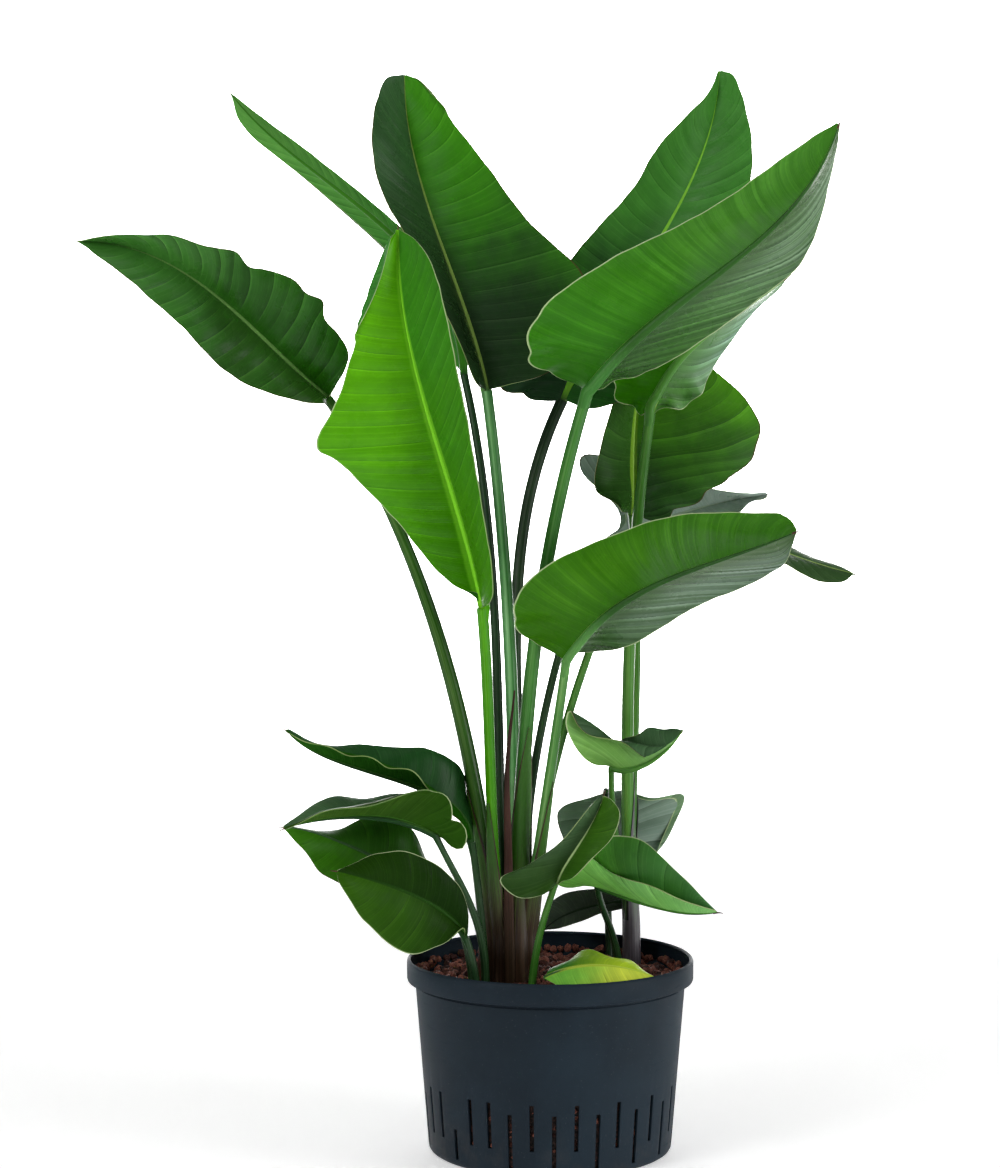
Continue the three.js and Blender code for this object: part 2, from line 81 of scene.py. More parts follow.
# %% Studio sheet
def studio_sheet():
    sheet = bmesh.new()
    start = [sheet.verts.new((x, -4.5, 0)) for x in (-6, 6)]
    edge = sheet.edges.new(start)
    for step in [(0, 9.5, 0), (0, 0.5, 0.13), (0, 0.37, 0.37), (0, 0.13, 0.5), (0, 0, 5)]:
        made = bmesh.ops.extrude_edge_only(sheet, edges=[edge])["geom"]
        ends = [v for v in made if isinstance(v, bmesh.types.BMVert)]
        bmesh.ops.translate(sheet, verts=ends, vec=step)
        edge = next(e for e in made if isinstance(e, bmesh.types.BMEdge)
                    and e.verts[0] in ends and e.verts[1] in ends)
    bmesh.ops.recalc_face_normals(sheet, faces=sheet.faces)
    mesh = bpy.data.meshes.new("studio_sheet")
    sheet.to_mesh(mesh)
    sheet.free()
    mesh.shade_smooth()
    floor = bpy.data.objects.new("studio_sheet", mesh)
    scene.collection.objects.link(floor)
    white = bpy.data.materials.new("white_paper")
    white.use_nodes = True
    surface = white.node_tree.nodes["Principled BSDF"]
    surface.inputs["Base Color"].default_value = (0.9, 0.9, 0.9, 1)
    surface.inputs["Roughness"].default_value = 0.9
    surface.inputs["Emission Color"].default_value = (1, 1, 1, 1)
    surface.inputs["Emission Strength"].default_value = 0.42
    mesh.materials.append(white)


studio_sheet()

# %% Lamps
def soft_lamp(name, place, target, size, power, spread=180):
    data = bpy.data.lights.new(name, "AREA")
    data.shape = "RECTANGLE"
    data.size, data.size_y = size
    data.energy = power
    data.spread = math.radians(spread)
    lamp = bpy.data.objects.new(name, data)
    lamp.location = place
    lamp.rotation_euler = (Vector(target) - Vector(place)).to_track_quat("-Z", "Y").to_euler()
    scene.collection.objects.link(lamp)


soft_lamp("lamp_left", (-2.0, -1.9, 1.7), (0, 0, 0.6), (1.0, 1.8), 31)
soft_lamp("lamp_right", (2.4, -1.0, 0.9), (0, 0, 0.6), (0.9, 1.8), 33)
soft_lamp("lamp_top", (0, -0.2, 2.9), (0, 0, 0.5), (2.0, 1.4), 13)
soft_lamp("lamp_sheet_left", (-3.0, 2.6, 2.8), (-0.4, 4.8, 0.2), (1.2, 1.8), 300, spread=90)
soft_lamp("lamp_sheet_right", (3.0, 2.6, 2.8), (0.4, 4.8, 0.2), (1.2, 1.8), 300, spread=90)

world = bpy.data.worlds.new("studio_air")
world.use_nodes = True
world.node_tree.nodes["Background"].inputs["Color"].default_value = (1, 1, 1, 1)
world.node_tree.nodes["Background"].inputs["Strength"].default_value = 0.13
scene.world = world
scene.view_settings.view_transform = "Standard"

# %% [markdown]
# Helpers for finishes
#
# Every finish is a small graph of nodes. These helpers keep the graphs short: one makes a node
# and fills its sockets, and the others wrap the sums and blends that all finishes use.

# %% Node helpers
def paint(red, green, blue):
    """A colour read from a screen, 0 to 255, as the shader's linear values."""
    channels = [c / 255 for c in (red, green, blue)]
    linear = [c / 12.92 if c <= 0.04045 else ((c + 0.055) / 1.055) ** 2.4 for c in channels]
    return (*linear, 1)


def tinted(colour, factor):
    return (*(c * factor for c in colour[:3]), 1)


class Finish:
    """A material, its surface and the nodes that fill the surface's sockets."""

    def __init__(self, name):
        self.material = bpy.data.materials.new(name)
        self.material.use_nodes = True
        self.tree = self.material.node_tree
        self.surface = self.tree.nodes["Principled BSDF"]
        self.place = self.node("TexCoord").outputs["Object"]

    def fill(self, made, sockets):
        for key, value in sockets.items():
            if isinstance(value, bpy.types.NodeSocket):
                self.tree.links.new(value, made.inputs[key])
            else:
                made.inputs[key].default_value = value

    def node(self, kind, sockets=None, **settings):
        made = self.tree.nodes.new("ShaderNode" + kind)
        for key, value in settings.items():
            setattr(made, key, value)
        self.fill(made, sockets or {})
        return made

    def sums(self, operation, *values):
        return self.node("Math", dict(enumerate(values)), operation=operation).outputs[0]

    def times(self, first, second):
        return self.sums("MULTIPLY", first, second)

    def plus(self, first, second):
        return self.sums("ADD", first, second)

    def away(self, value, middle=None):
        """How far a value is from a middle, or from nought."""
        return self.sums("ABSOLUTE", value if middle is None else self.sums("SUBTRACT", value, middle))

    def blend(self, factor, first, second, kind="MIX"):
        return self.node("Mix", {0: factor, 6: first, 7: second}, data_type="RGBA",
                         blend_type=kind).outputs[2]

    def tint(self, colour, factors):
        return self.blend(1.0, colour, factors, "MULTIPLY")

    def ramp(self, value, low, high, to_low=0.0, to_high=1.0):
        return self.node("MapRange", {"Value": value, "From Min": low, "From Max": high, "To Min": to_low,
                                      "To Max": to_high}, interpolation_type="SMOOTHSTEP").outputs[0]

    def noise(self, vector, scale, detail=3):
        return self.node("TexNoise", {"Vector": vector, "Scale": scale, "Detail": detail,
                                      "Roughness": 0.55}).outputs["Fac"]

    def stretched(self, vector, scale, detail):
        """Noise drawn out into strands."""
        return self.noise(self.node("Mapping", {"Vector": vector, "Scale": scale}).outputs[0], 1, detail)

    def stripes(self, along, scale, detail=2):
        """Uneven stripes across one length, such as the fine veins of a leaf."""
        return self.node("TexNoise", {"W": along, "Scale": scale, "Detail": detail},
                         noise_dimensions="1D").outputs["Fac"]

    def spread(self, name):
        """One of the piece's own sets of coordinates."""
        return self.node("UVMap", uv_map=name).outputs[0]

    def parts(self, vector):
        return self.node("SeparateXYZ", {0: vector}).outputs

    def ragged(self, value, strands, amount):
        """A value that strands push up and down."""
        return self.plus(value, self.times(self.sums("SUBTRACT", strands, 0.5), amount))

    def put(self, **sockets):
        """Fills the surface's sockets; an underscore in a key stands for a space."""
        self.fill(self.surface, {key.replace("_", " "): value for key, value in sockets.items()})

    def bump(self, height, distance, strength):
        made = self.node("Bump", {"Height": height, "Distance": distance, "Strength": strength})
        self.fill(self.surface, {"Normal": made.outputs["Normal"]})


# %% [markdown]
# Leaf shapes
#
# A leaf is described as a maker would cut it: its midrib is one smooth curve, and each margin
# is a line through a few points. Left and right are as seen on the upper face with the tip up.
# The stalk is the rest of a curve that runs down from the midrib's base. Numbers are in
# millimetres. A flat photograph gives the outlines, and the depths were chosen so that the
# leaves hang clear of each other. A leaf that names no wave or arch has a wave of 2 mm at its
# margin and an arch of a tenth of its half width.

# %% Leaf table
MM = 0.001

LEAVES = {
    "rolled": dict(
        rib=[(-85, 92, 758), (-90, 102, 897), (-249, 118, 945), (-320, 144, 1040)],
        left=[(-99, 126, 777), (-121, 137, 832), (-165, 145, 883), (-240, 157, 950), (-305, 150, 1004)],
        right=[(-77, 127, 787), (-91, 141, 838), (-151, 151, 907), (-236, 162, 977), (-297, 151, 1022)],
        wave=1, folds=[(-1, 0.02, 0.9, 6, 1)], stalk=[(-44, 36, 585), (-53, 28, 396), (-46, 2, 216)],
        thick=(4, 5.5)),
    "tall_left": dict(
        rib=[(-62, 20, 743), (-84, 34, 847), (-144, 47, 945), (-143, 72, 1052)],
        left=[(-74, -23, 753), (-95, -16, 805), (-128, -7, 870), (-161, 3, 930), (-173, 13, 988),
              (-163, 54, 1043)],
        right=[(-41, 7, 748), (1, 11, 762), (37, 31, 801), (31, 37, 856), (-25, 33, 911), (-84, 43, 991),
               (-124, 68, 1040)],
        arch=0.08, folds=[(1, 0.86, 0.99, 4.5, 1)], stalk=[(-39, 8, 567), (-32, 3, 393), (-37, -8, 218)],
        thick=(5.5, 7)),
    "front_left": dict(
        rib=[(-66, -70, 538), (-87, -86, 657), (-148, -109, 770), (-144, -96, 894)],
        left=[(-71, -75, 551), (-86, -84, 556), (-105, -88, 571), (-144, -95, 618), (-198, -103, 675),
              (-220, -104, 693), (-198, -110, 742), (-176, -112, 816), (-156, -110, 872)],
        right=[(-58, -100, 545), (-56, -112, 562), (-61, -122, 609), (-70, -129, 666), (-87, -139, 757),
               (-100, -142, 820), (-118, -113, 872)],
        arch=0.08, folds=[(-1, 0.74, 0.985, 11, 1)], lean=(0.03, 0.12), pleats=(1.2, 0.9),
        stalk=[(-57, -52, 432), (-60, -47, 326), (-49, -26, 221)], thick=(5.5, 5)),
    "far_left": dict(
        rib=[(-216, 10, 735), (-287, -5, 794), (-346, -34, 887), (-450, -50, 884)],
        left=[(-220, -21, 730), (-256, -28, 736), (-308, -40, 759), (-361, -58, 814), (-418, -64, 862)],
        right=[(-194, -14, 772), (-204, -18, 797), (-217, -22, 812), (-219, -23, 829), (-235, -28, 836),
               (-248, -31, 850), (-272, -36, 858), (-287, -39, 861), (-300, -42, 874), (-318, -46, 878),
               (-331, -48, 880), (-356, -54, 889), (-384, -59, 890), (-418, -63, 889)],
        wave=4, pleats=(1.6, 2.6), stalk=[(-113, -12, 580), (-71, -45, 402), (-55, -18, 219)],
        thick=(5, 9)),
    "tall_right": dict(
        rib=[(13, 75, 733), (64, 109, 842), (167, 125, 936), (172, 156, 1064)],
        left=[(-5, 63, 733), (-45, 88, 746), (-34, 98, 797), (22, 98, 873), (83, 113, 943),
              (111, 122, 988), (157, 134, 1036)],
        right=[(48, 63, 725), (114, 78, 757), (162, 93, 832), (195, 107, 911), (203, 126, 992),
               (189, 151, 1052)],
        arch=0.08, ruffles=[(-1, 0.0, 0.26, 6, 3)],
        stalk=[(-66, 53, 574), (-17, 19, 385), (-33, 8, 215)], thick=(6, 5.5)),
    "front_right": dict(
        rib=[(34, -40, 740), (98, -71, 838), (228, -114, 868), (261, -146, 988)],
        left=[(59, -6, 749), (98, -17, 762), (146, -34, 793), (202, -55, 833), (239, -71, 871),
              (259, -99, 940)],
        right=[(24, -19, 749), (-6, -26, 762), (-24, -57, 781), (-7, -67, 822), (57, -66, 868),
               (142, -88, 910), (222, -137, 965)],
        wave=1.5, arch=0.08, pleats=(1.4, 0.6), lean=(0.26, 0.09),
        ruffles=[(1, 0.02, 0.3, 4, 3.5), (-1, 0.0, 0.2, 3, 2)],
        stalk=[(-18, -43, 570), (-29, -10, 395), (-33, -22, 220)], thick=(6, 8)),
    "side_upper": dict(
        rib=[(98, 26, 722), (116, 35, 787), (183, 30, 814), (231, 38, 852)],
        left=[(107, 57, 722), (143, 60, 732), (162, 62, 766), (194, 64, 811), (222, 53, 839)],
        right=[(89, 51, 720), (63, 44, 741), (73, 54, 780), (128, 57, 826), (191, 51, 850)],
        ruffles=[(1, 0.0, 0.3, 5, 3), (-1, 0.0, 0.4, 5, 3)], pleats=(1.5, 0.8), lean=(0.24, 0.09),
        stalk=[(75, 54, 554), (74, 65, 385), (82, 66, 214)], thick=(5, 7)),
    "side_middle": dict(
        rib=[(83, 92, 618), (84, 100, 683), (77, 115, 751), (120, 124, 807)],
        left=[(67, 54, 627), (46, 58, 646), (50, 63, 683), (62, 70, 728), (86, 78, 772)],
        right=[(110, 79, 614), (150, 82, 635), (182, 94, 657), (203, 104, 671), (209, 107, 688),
               (213, 108, 705), (204, 107, 722), (186, 104, 744), (163, 101, 764), (139, 113, 787)],
        arch=0.08, ruffles=[(-1, 0.0, 0.3, 4, 2), (1, 0.0, 0.35, 5, 3)], pleats=(1.0, 1.7),
        lean=(0.09, 0.24), stalk=[(95, 91, 481), (80, 79, 348), (83, 72, 213)], thick=(4, 4.5)),
    "mid_right": dict(
        rib=[(14, -60, 485), (59, -77, 567), (152, -118, 578), (225, -146, 614)],
        left=[(31, -19, 489), (71, -30, 497), (138, -56, 537), (186, -75, 560), (215, -112, 580),
              (221, -132, 599)],
        right=[(-3, -39, 495), (-28, -46, 511), (-36, -74, 540), (-13, -82, 572), (46, -75, 603),
               (128, -97, 628), (200, -140, 631), (213, -143, 628.5), (220.5, -145, 623)],
        wave=1.5, arch=0.08, pleats=(1.4, 0.6), lean=(0.26, 0.09),
        ruffles=[(1, 0.02, 0.26, 3, 3), (-1, 0.0, 0.2, 2.5, 2)],
        stalk=[(2, -47, 395), (-11, -28, 308), (-22, -20, 220)], thick=(4.5, 6)),
    "back_right": dict(
        rib=[(45, 165, 581), (103, 170, 606), (162, 170, 628), (225, 172, 635)],
        left=[(62, 163, 593), (80, 160, 609), (70, 156, 632), (36, 152, 655), (40, 160, 674),
              (82, 160, 671), (144, 155, 647), (195, 155, 638)],
        right=[(65, 155, 559), (109, 157, 564), (160, 158, 599), (201, 159, 622)],
        wave=3, ruffles=[(-1, 0.1, 0.6, 5, 3), (1, 0.3, 1.0, 5, 4)],
        stalk=[(3, 104, 465), (-30, 30, 352), (-25, 12, 214)], thick=(4, 4.5)),
    "drooping": dict(
        rib=[(59, -20, 549), (163, -3, 642), (188, 11, 588), (297, 12, 564)],
        left=[(88, 17, 577), (147, 30, 606), (206, 40, 602), (255, 31, 579), (284, 22, 571)],
        right=[(90, -44, 562), (142, -39, 585), (201, -28, 584), (253, -7, 562), (282, 2, 557)],
        wave=1, stalk=[(19, 14, 443), (-14, 16, 331), (-20, 2, 216)], thick=(4, 4.5)),
    "low_left_upper": dict(
        rib=[(-76, -46, 310), (-83, -53, 382), (-212, -85, 373), (-250, -108, 426)],
        left=[(-98, -90, 349), (-117, -98, 373), (-147, -108, 389), (-187, -118, 405),
              (-217, -117, 409)],
        right=[(-79, -18, 349), (-88, -34, 379), (-121, -50, 402), (-164, -53, 402), (-205, -72, 407),
               (-237, -96, 418)],
        ruffles=[(-1, 0.1, 1.0, 3, 5)], stalk=[(-70, -47, 267), (-65, -42, 225), (-62, -34, 160)],
        thick=(3.5, 4)),
    "low_left_middle": dict(
        rib=[(-110, -90, 324), (-151, -106, 349), (-207, -114, 348), (-251, -132, 336)],
        left=[(-85, -95, 314), (-94, -102, 351), (-111, -106, 370), (-148, -130, 363), (-201, -141, 354),
              (-232, -135, 343)],
        right=[(-114, -66, 342), (-139, -73, 358), (-179, -82, 359), (-224, -101, 355)],
        pleats=(0.4, 0.4), ruffles=[(-1, 0.0, 0.4, 5, 2.5)],
        stalk=[(-91, -79, 276), (-58, -55, 239), (-64, -58, 160)], thick=(3, 4)),
    "low_left_back": dict(
        rib=[(-111, -58, 270), (-159, -72, 291), (-202, -84, 324), (-252, -104, 333)],
        left=[(-139, -77, 257), (-177, -86, 268), (-213, -96, 285), (-237, -107, 314)],
        right=[(-118, -40, 290), (-140, -49, 328), (-173, -57, 336), (-205, -66, 324), (-235, -84, 329)],
        pleats=(0.4, 0.4), stalk=[(-89, -65, 246), (-77, -67, 216), (-74, -66, 160)], thick=(3, 4)),
    "low_left_round": dict(
        rib=[(-81, -88, 225), (-102, -104, 266), (-160, -122, 284), (-201, -140, 297)],
        left=[(-85, -106, 237), (-105, -114, 222), (-138, -123, 217), (-175, -137, 249),
              (-196, -144, 283)],
        right=[(-80, -90, 257), (-100, -101, 290), (-131, -111, 309), (-162, -120, 311),
               (-187, -128, 302)],
        wave=1, pleats=(0.4, 0.4), stalk=[(-76, -86, 209), (-72, -85, 194), (-70, -82, 160)],
        thick=(3, 4)),
    "low_right_front": dict(
        rib=[(45, -30, 265), (81, -50, 253), (120, -71, 240), (157, -92, 250)],
        left=[(38, -16, 280), (31, -45, 310), (77, -59, 317), (105, -70, 300), (133, -83, 273)],
        right=[(14, -40, 266), (2, -46, 276), (12, -50, 291), (34, -52, 297), (58, -59, 282),
               (103, -92, 271), (139, -92, 256)],
        pleats=(0.4, 0.4), stalk=[(49, -7, 233), (65, 34, 215), (71, 44, 160)], thick=(3, 4)),
    "low_right_curled": dict(
        rib=[(4, -72, 274), (17, -82, 303), (40, -82, 328), (49, -84, 360)],
        left=[(-8, -84, 266), (-32, -77, 262), (-50, -79, 279), (-21, -81, 294), (12, -92, 321),
              (36, -92, 351)],
        right=[(20, -98, 284), (36, -101, 301), (57, -104, 323), (64, -102, 344), (57, -91, 356)],
        pleats=(0.4, 0.4), stalk=[(-8, -70, 240), (-17, -60, 207), (-19, -58, 160)], thick=(3, 4)),
    "side_small": dict(
        rib=[(60, 12, 375), (88, -2, 366), (115, 4, 391), (130, 14, 411)],
        left=[(65, 30, 383), (74, 16, 403), (93, 15, 411), (114, 19, 412)],
        right=[(41, 7, 379), (24, -5, 397), (14, -9, 418), (18, -8, 434), (28, -7, 418), (42, -5, 406),
               (68, -2, 401), (93, 4, 387), (115, 11, 395)],
        wave=1, ruffles=[(-1, 0.1, 1.0, 3, 3), (1, 0.2, 0.9, 3, 2)],
        stalk=[(59, 31, 319), (73, 66, 273), (79, 66, 214)], thick=(3, 3.5)),
    "low_back": dict(
        rib=[(59, 118, 335), (61, 110, 302), (65, 105, 270), (74, 98, 239)],
        left=[(74, 92, 340), (104, 89, 334), (137, 109, 334), (125, 106, 301), (97, 85, 264)],
        right=[(46, 102, 334), (17, 98, 325), (9, 96, 312), (19, 92, 283), (45, 88, 251)],
        folds=[(-1, 0.1, 0.8, 15, 1)], pleats=(1.6, 1.6),
        stalk=[(56, 146, 350), (60, 130, 240), (62, 94, 160)], thick=(3, 4)),
    "low_dark": dict(
        rib=[(77, 84, 231), (49, 86, 224), (18, 88, 222), (-4, 90, 200)],
        left=[(91, 85, 227), (67, 80, 222), (40, 78, 214), (13, 80, 204)],
        right=[(91, 94, 232), (64, 98, 238), (27, 100, 238), (-4, 94, 222)],
        wave=1, stalk=[(86, 94, 215), (82, 94, 195), (78, 95, 160)], thick=(2.5, 3.5)),
    "fallen": dict(
        rib=[(-7, -62, 181), (26, -71, 200), (66, -83, 200), (100, -88, 186)],
        left=[(4, -40, 187), (30, -46, 202), (64, -55, 201), (87, -74, 190)],
        right=[(2, -74, 178), (17, -86, 174), (54, -96, 172.5), (82, -96, 173.5)],
        wave=1, pleats=(0.4, 0.3), ruffles=[(-1, 0.05, 0.95, 4, 2.5), (1, 0.05, 0.9, 2, 3)], stalk=None,
        thick=(2, 2)),
}
print("leaves:", len(LEAVES))

# %% [markdown]
# Curves
#
# A midrib or a stalk is one cubic curve of four points. A margin passes smoothly through all of
# its points. Both are read by length, so that the same share of two lines lies side by side.

# %% Curve helpers
def smooth_curve(four, count=400):
    a, b, c, d = (np.array(p, float) * MM for p in four)
    t = np.linspace(0, 1, count)[:, None]
    return (1 - t) ** 3 * a + 3 * (1 - t) ** 2 * t * b + 3 * (1 - t) * t ** 2 * c + t ** 3 * d


def line_through(points, steps=60):
    p = np.array(points, float) * MM
    p = np.vstack([2 * p[0] - p[1], p, 2 * p[-1] - p[-2]])
    t = np.linspace(0, 1, steps, endpoint=False)[:, None]
    parts = [0.5 * (2 * b + (c - a) * t + (2 * a - 5 * b + 4 * c - d) * t ** 2
                    + (3 * b - a - 3 * c + d) * t ** 3)
             for a, b, c, d in zip(p, p[1:], p[2:], p[3:])]
    return np.vstack(parts + [p[-2:-1]])


def length_of(line):
    return float(np.linalg.norm(np.diff(line, axis=0), axis=1).sum())


def by_length(line, shares):
    run = np.concatenate([[0], np.cumsum(np.linalg.norm(np.diff(line, axis=0), axis=1))])
    return np.stack([np.interp(shares, run / run[-1], line[:, k]) for k in range(3)], axis=1)


def unit(vectors):
    return vectors / np.linalg.norm(vectors, axis=-1, keepdims=True)


# %% [markdown]
# The blade's surface
#
# Between the midrib and each margin the blade arches a little, its margin waves, and shallow
# pleats run out along the side veins, with a sharp crease between two of them. The surface is
# worked out for every point of an even grid: one direction runs along the midrib, the other
# across it. The same grid carries two sets of coordinates for the finish: the share across and
# along, and real lengths, the distance from the midrib and the place along the veins.

# %% Blade surface
START = 0.04
RIPPLES = 3
CREASE_PITCH = 0.016
FOLD_RADIUS = 1.3 * MM
FOLD_TURN = math.pi * 0.96


def blade_surface(leaf, rows, columns):
    shares = np.linspace(0.004, 0.996, rows + 1)
    rib_line = smooth_curve(leaf["rib"])
    base, tip = leaf["rib"][0], leaf["rib"][3]
    rib_shares = np.where(shares < START, 0.002 * shares / START,
                          0.002 + 0.998 * (shares - START) / (1 - START))
    rib = by_length(rib_line, rib_shares)
    along = unit(np.gradient(by_length(rib_line, np.linspace(0, 1, 201)), axis=0))
    along = unit(np.stack([np.interp(rib_shares, np.linspace(0, 1, 201), along[:, k])
                           for k in range(3)], 1))
    ends = {-1: by_length(line_through([base, *leaf["left"], tip]), shares),
            1: by_length(line_through([base, *leaf["right"], tip]), shares)}
    up = unit(np.cross(ends[1] - ends[-1], along))
    length = length_of(rib_line)
    across = np.linspace(-1, 1, columns + 1)
    across = np.sign(across) * np.abs(across) ** 1.35
    share = shares[:, None]
    points = np.zeros((rows + 1, columns + 1, 3))
    reach_map = np.zeros((rows + 1, columns + 1))
    veins = np.zeros((rows + 1, columns + 1))
    for side, chosen in ((-1, across < 0), (1, across >= 0)):
        a = np.abs(across[chosen])[None, :]
        reach = ends[side] - rib
        size = np.linalg.norm(reach, axis=1)[:, None]
        wave = leaf.get("wave", 2) * MM * a ** 2 * np.sin(2 * np.pi * (RIPPLES * share + side * 0.25))
        lift = leaf.get("arch", 0.1) * size * 4 * a * (1 - a) + wave
        vein = vein_place(share, a, length, leaf.get("lean", (0.09, 0.09))[side > 0])
        veins[:, chosen] = vein
        crease = np.abs(np.sin(np.pi * vein / CREASE_PITCH)) - 0.6
        strength = np.clip(a * 5, 0, 1) * np.clip((1 - a) * 4, 0.25, 1) * np.clip(size / 0.05, 0, 1)
        lift = lift + leaf.get("pleats", (0.9, 0.9))[side > 0] * MM * crease * strength
        swell = np.sin(vein / 0.021 + 2 * side + 3 * a) + np.sin(vein / 0.034 - 4 * a + side)
        lift = lift + 0.0006 * swell * a * np.clip(size / 0.05, 0, 1)
        outward = 0.0007 * np.sin(vein / 0.0061 + 5 * side) * np.sin(vein / 0.017) * a ** 4
        for ruffled, first, last, height, count in leaf.get("ruffles", []):
            if ruffled == side:
                middle = np.clip((share - first) / (last - first), 0, 1)
                swing = np.sin(np.pi * middle) ** 0.7 * height * MM
                lift = lift + swing * np.sin(2 * np.pi * count * middle + 1) * a ** 3
                outward = outward + 0.75 * swing * np.sin(2 * np.pi * count * middle + 2.6) * a ** 4
        points[:, chosen] = (rib[:, None] + reach[:, None] * a[..., None] + up[:, None] * lift[..., None]
                             + unit(reach)[:, None] * outward[..., None])
        reach_map[:, chosen] = side * size * a
    points = fold_margins(leaf, points, across, shares, ends, rib, up)
    return points, reach_map, veins


def vein_place(share, a, length, lean):
    """Where the side vein through a point leaves the midrib, as a length from the base."""
    even = (share - lean * a ** 1.3) * length
    return even + 0.0022 * np.sin(even / 0.0085 + 1.3) + 0.05


def fold_margins(leaf, points, across, shares, ends, rib, up):
    """Turns a strip of the margin over onto the blade, where the leaf has such a fold."""
    for side, first, last, width, turn in leaf.get("folds", []):
        middle = (shares - first) / (last - first)
        envelope = np.sin(np.pi * np.clip(middle, 0, 1)) ** 0.8
        columns = np.where(np.sign(across) == side)[0]
        for r in np.where(envelope > 0.01)[0]:
            outward = unit(ends[side][r] - rib[r])
            strip = width * MM * envelope[r]
            size = np.linalg.norm(ends[side][r] - rib[r])
            inner = size / (size + strip)
            order = columns if side > 0 else columns[::-1]
            place = np.abs(across[order])
            row = points[r, order].copy()
            for i, c in enumerate(order):
                if place[i] <= inner:
                    want = place[i] / inner
                    points[r, c] = [np.interp(want, place, row[:, k]) for k in range(3)]
                    continue
                extra = (place[i] - inner) * (size + strip)
                angle = min(extra / FOLD_RADIUS, FOLD_TURN)
                beyond = max(extra - FOLD_TURN * FOLD_RADIUS, 0)
                offset = outward * (FOLD_RADIUS * math.sin(angle) - beyond) \
                    + up[r] * turn * (FOLD_RADIUS * (1 - math.cos(angle)) + beyond * 0.12)
                points[r, c] = ends[side][r] + offset
    return points


# %% [markdown]
# Building a leaf
#
# Two equal grids make the upper and the lower face, and a bridge between their borders closes
# the margin. The midrib is a tapering rod that lies mostly under the blade and just breaks
# through its upper face, as the real one does. The rod is a grid rolled into a tube.

# %% Grid, tube and piece helpers
def grid_points(mesh, rows, columns):
    made = bmesh.ops.create_grid(mesh, x_segments=columns, y_segments=rows, size=1)["verts"]
    made = sorted(made, key=lambda v: (round(v.co.y, 5), round(v.co.x, 5)))
    assert len(made) == (rows + 1) * (columns + 1)
    return made


def faces_of(verts):
    return list({face for vert in verts for face in vert.link_faces})


def lay_coordinates(mesh, faces, spots, names=("span", "veins")):
    """Gives the corners of the faces the coordinates of their points."""
    for name in names:
        layer = mesh.loops.layers.uv.get(name) or mesh.loops.layers.uv.new(name)
        for face in faces:
            for loop in face.loops:
                loop[layer].uv = spots[loop.vert]


def add_tube(mesh, line, radii, sides, skin, flat=1.0, twist_from=(0, 1, 0)):
    """A closed tube along a line; its coordinates are the way round and the length in metres.
    A quarter of the way round, the tube faces where twist_from points."""
    rings = len(line) - 1
    along = unit(np.gradient(line, axis=0))
    side = unit(np.cross(np.array(twist_from, float), along))
    depth = np.cross(along, side)
    verts = grid_points(mesh, rings, sides)
    spot = {}
    run = np.concatenate([[0], np.cumsum(np.linalg.norm(np.diff(line, axis=0), axis=1))])
    for i, vert in enumerate(verts):
        ring, turn = divmod(i, sides + 1)
        angle = 2 * math.pi * turn / sides
        vert.co = line[ring] + radii[ring] * (math.cos(angle) * side[ring]
                                              + flat * math.sin(angle) * depth[ring])
        spot[vert] = (turn / sides, run[ring])
    faces = faces_of(verts)
    for face in faces:
        face.material_index = skin
    lay_coordinates(mesh, faces, spot)
    bmesh.ops.remove_doubles(mesh, verts=verts, dist=1e-7)
    left_over = {v for v in verts if v.is_valid}
    open_edges = [e for e in mesh.edges if e.is_boundary and e.verts[0] in left_over]
    caps = bmesh.ops.holes_fill(mesh, edges=open_edges, sides=0)["faces"]
    for cap in caps:
        cap.material_index = skin
    bmesh.ops.recalc_face_normals(mesh, faces=[f for f in faces if f.is_valid] + caps)


def finish_piece(name, mesh, skins, nodes, sharp=50):
    data = bpy.data.meshes.new(name)
    mesh.to_mesh(data)
    mesh.free()
    for skin in skins:
        data.materials.append(skin)
    data.shade_smooth()
    data.set_sharp_from_angle(angle=math.radians(sharp))
    piece = bpy.data.objects.new(name, data)
    scene.collection.objects.link(piece)
    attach(piece, "root")
    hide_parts(*nodes)
    return piece


# %% Leaf builder
BLADE = 0.0009


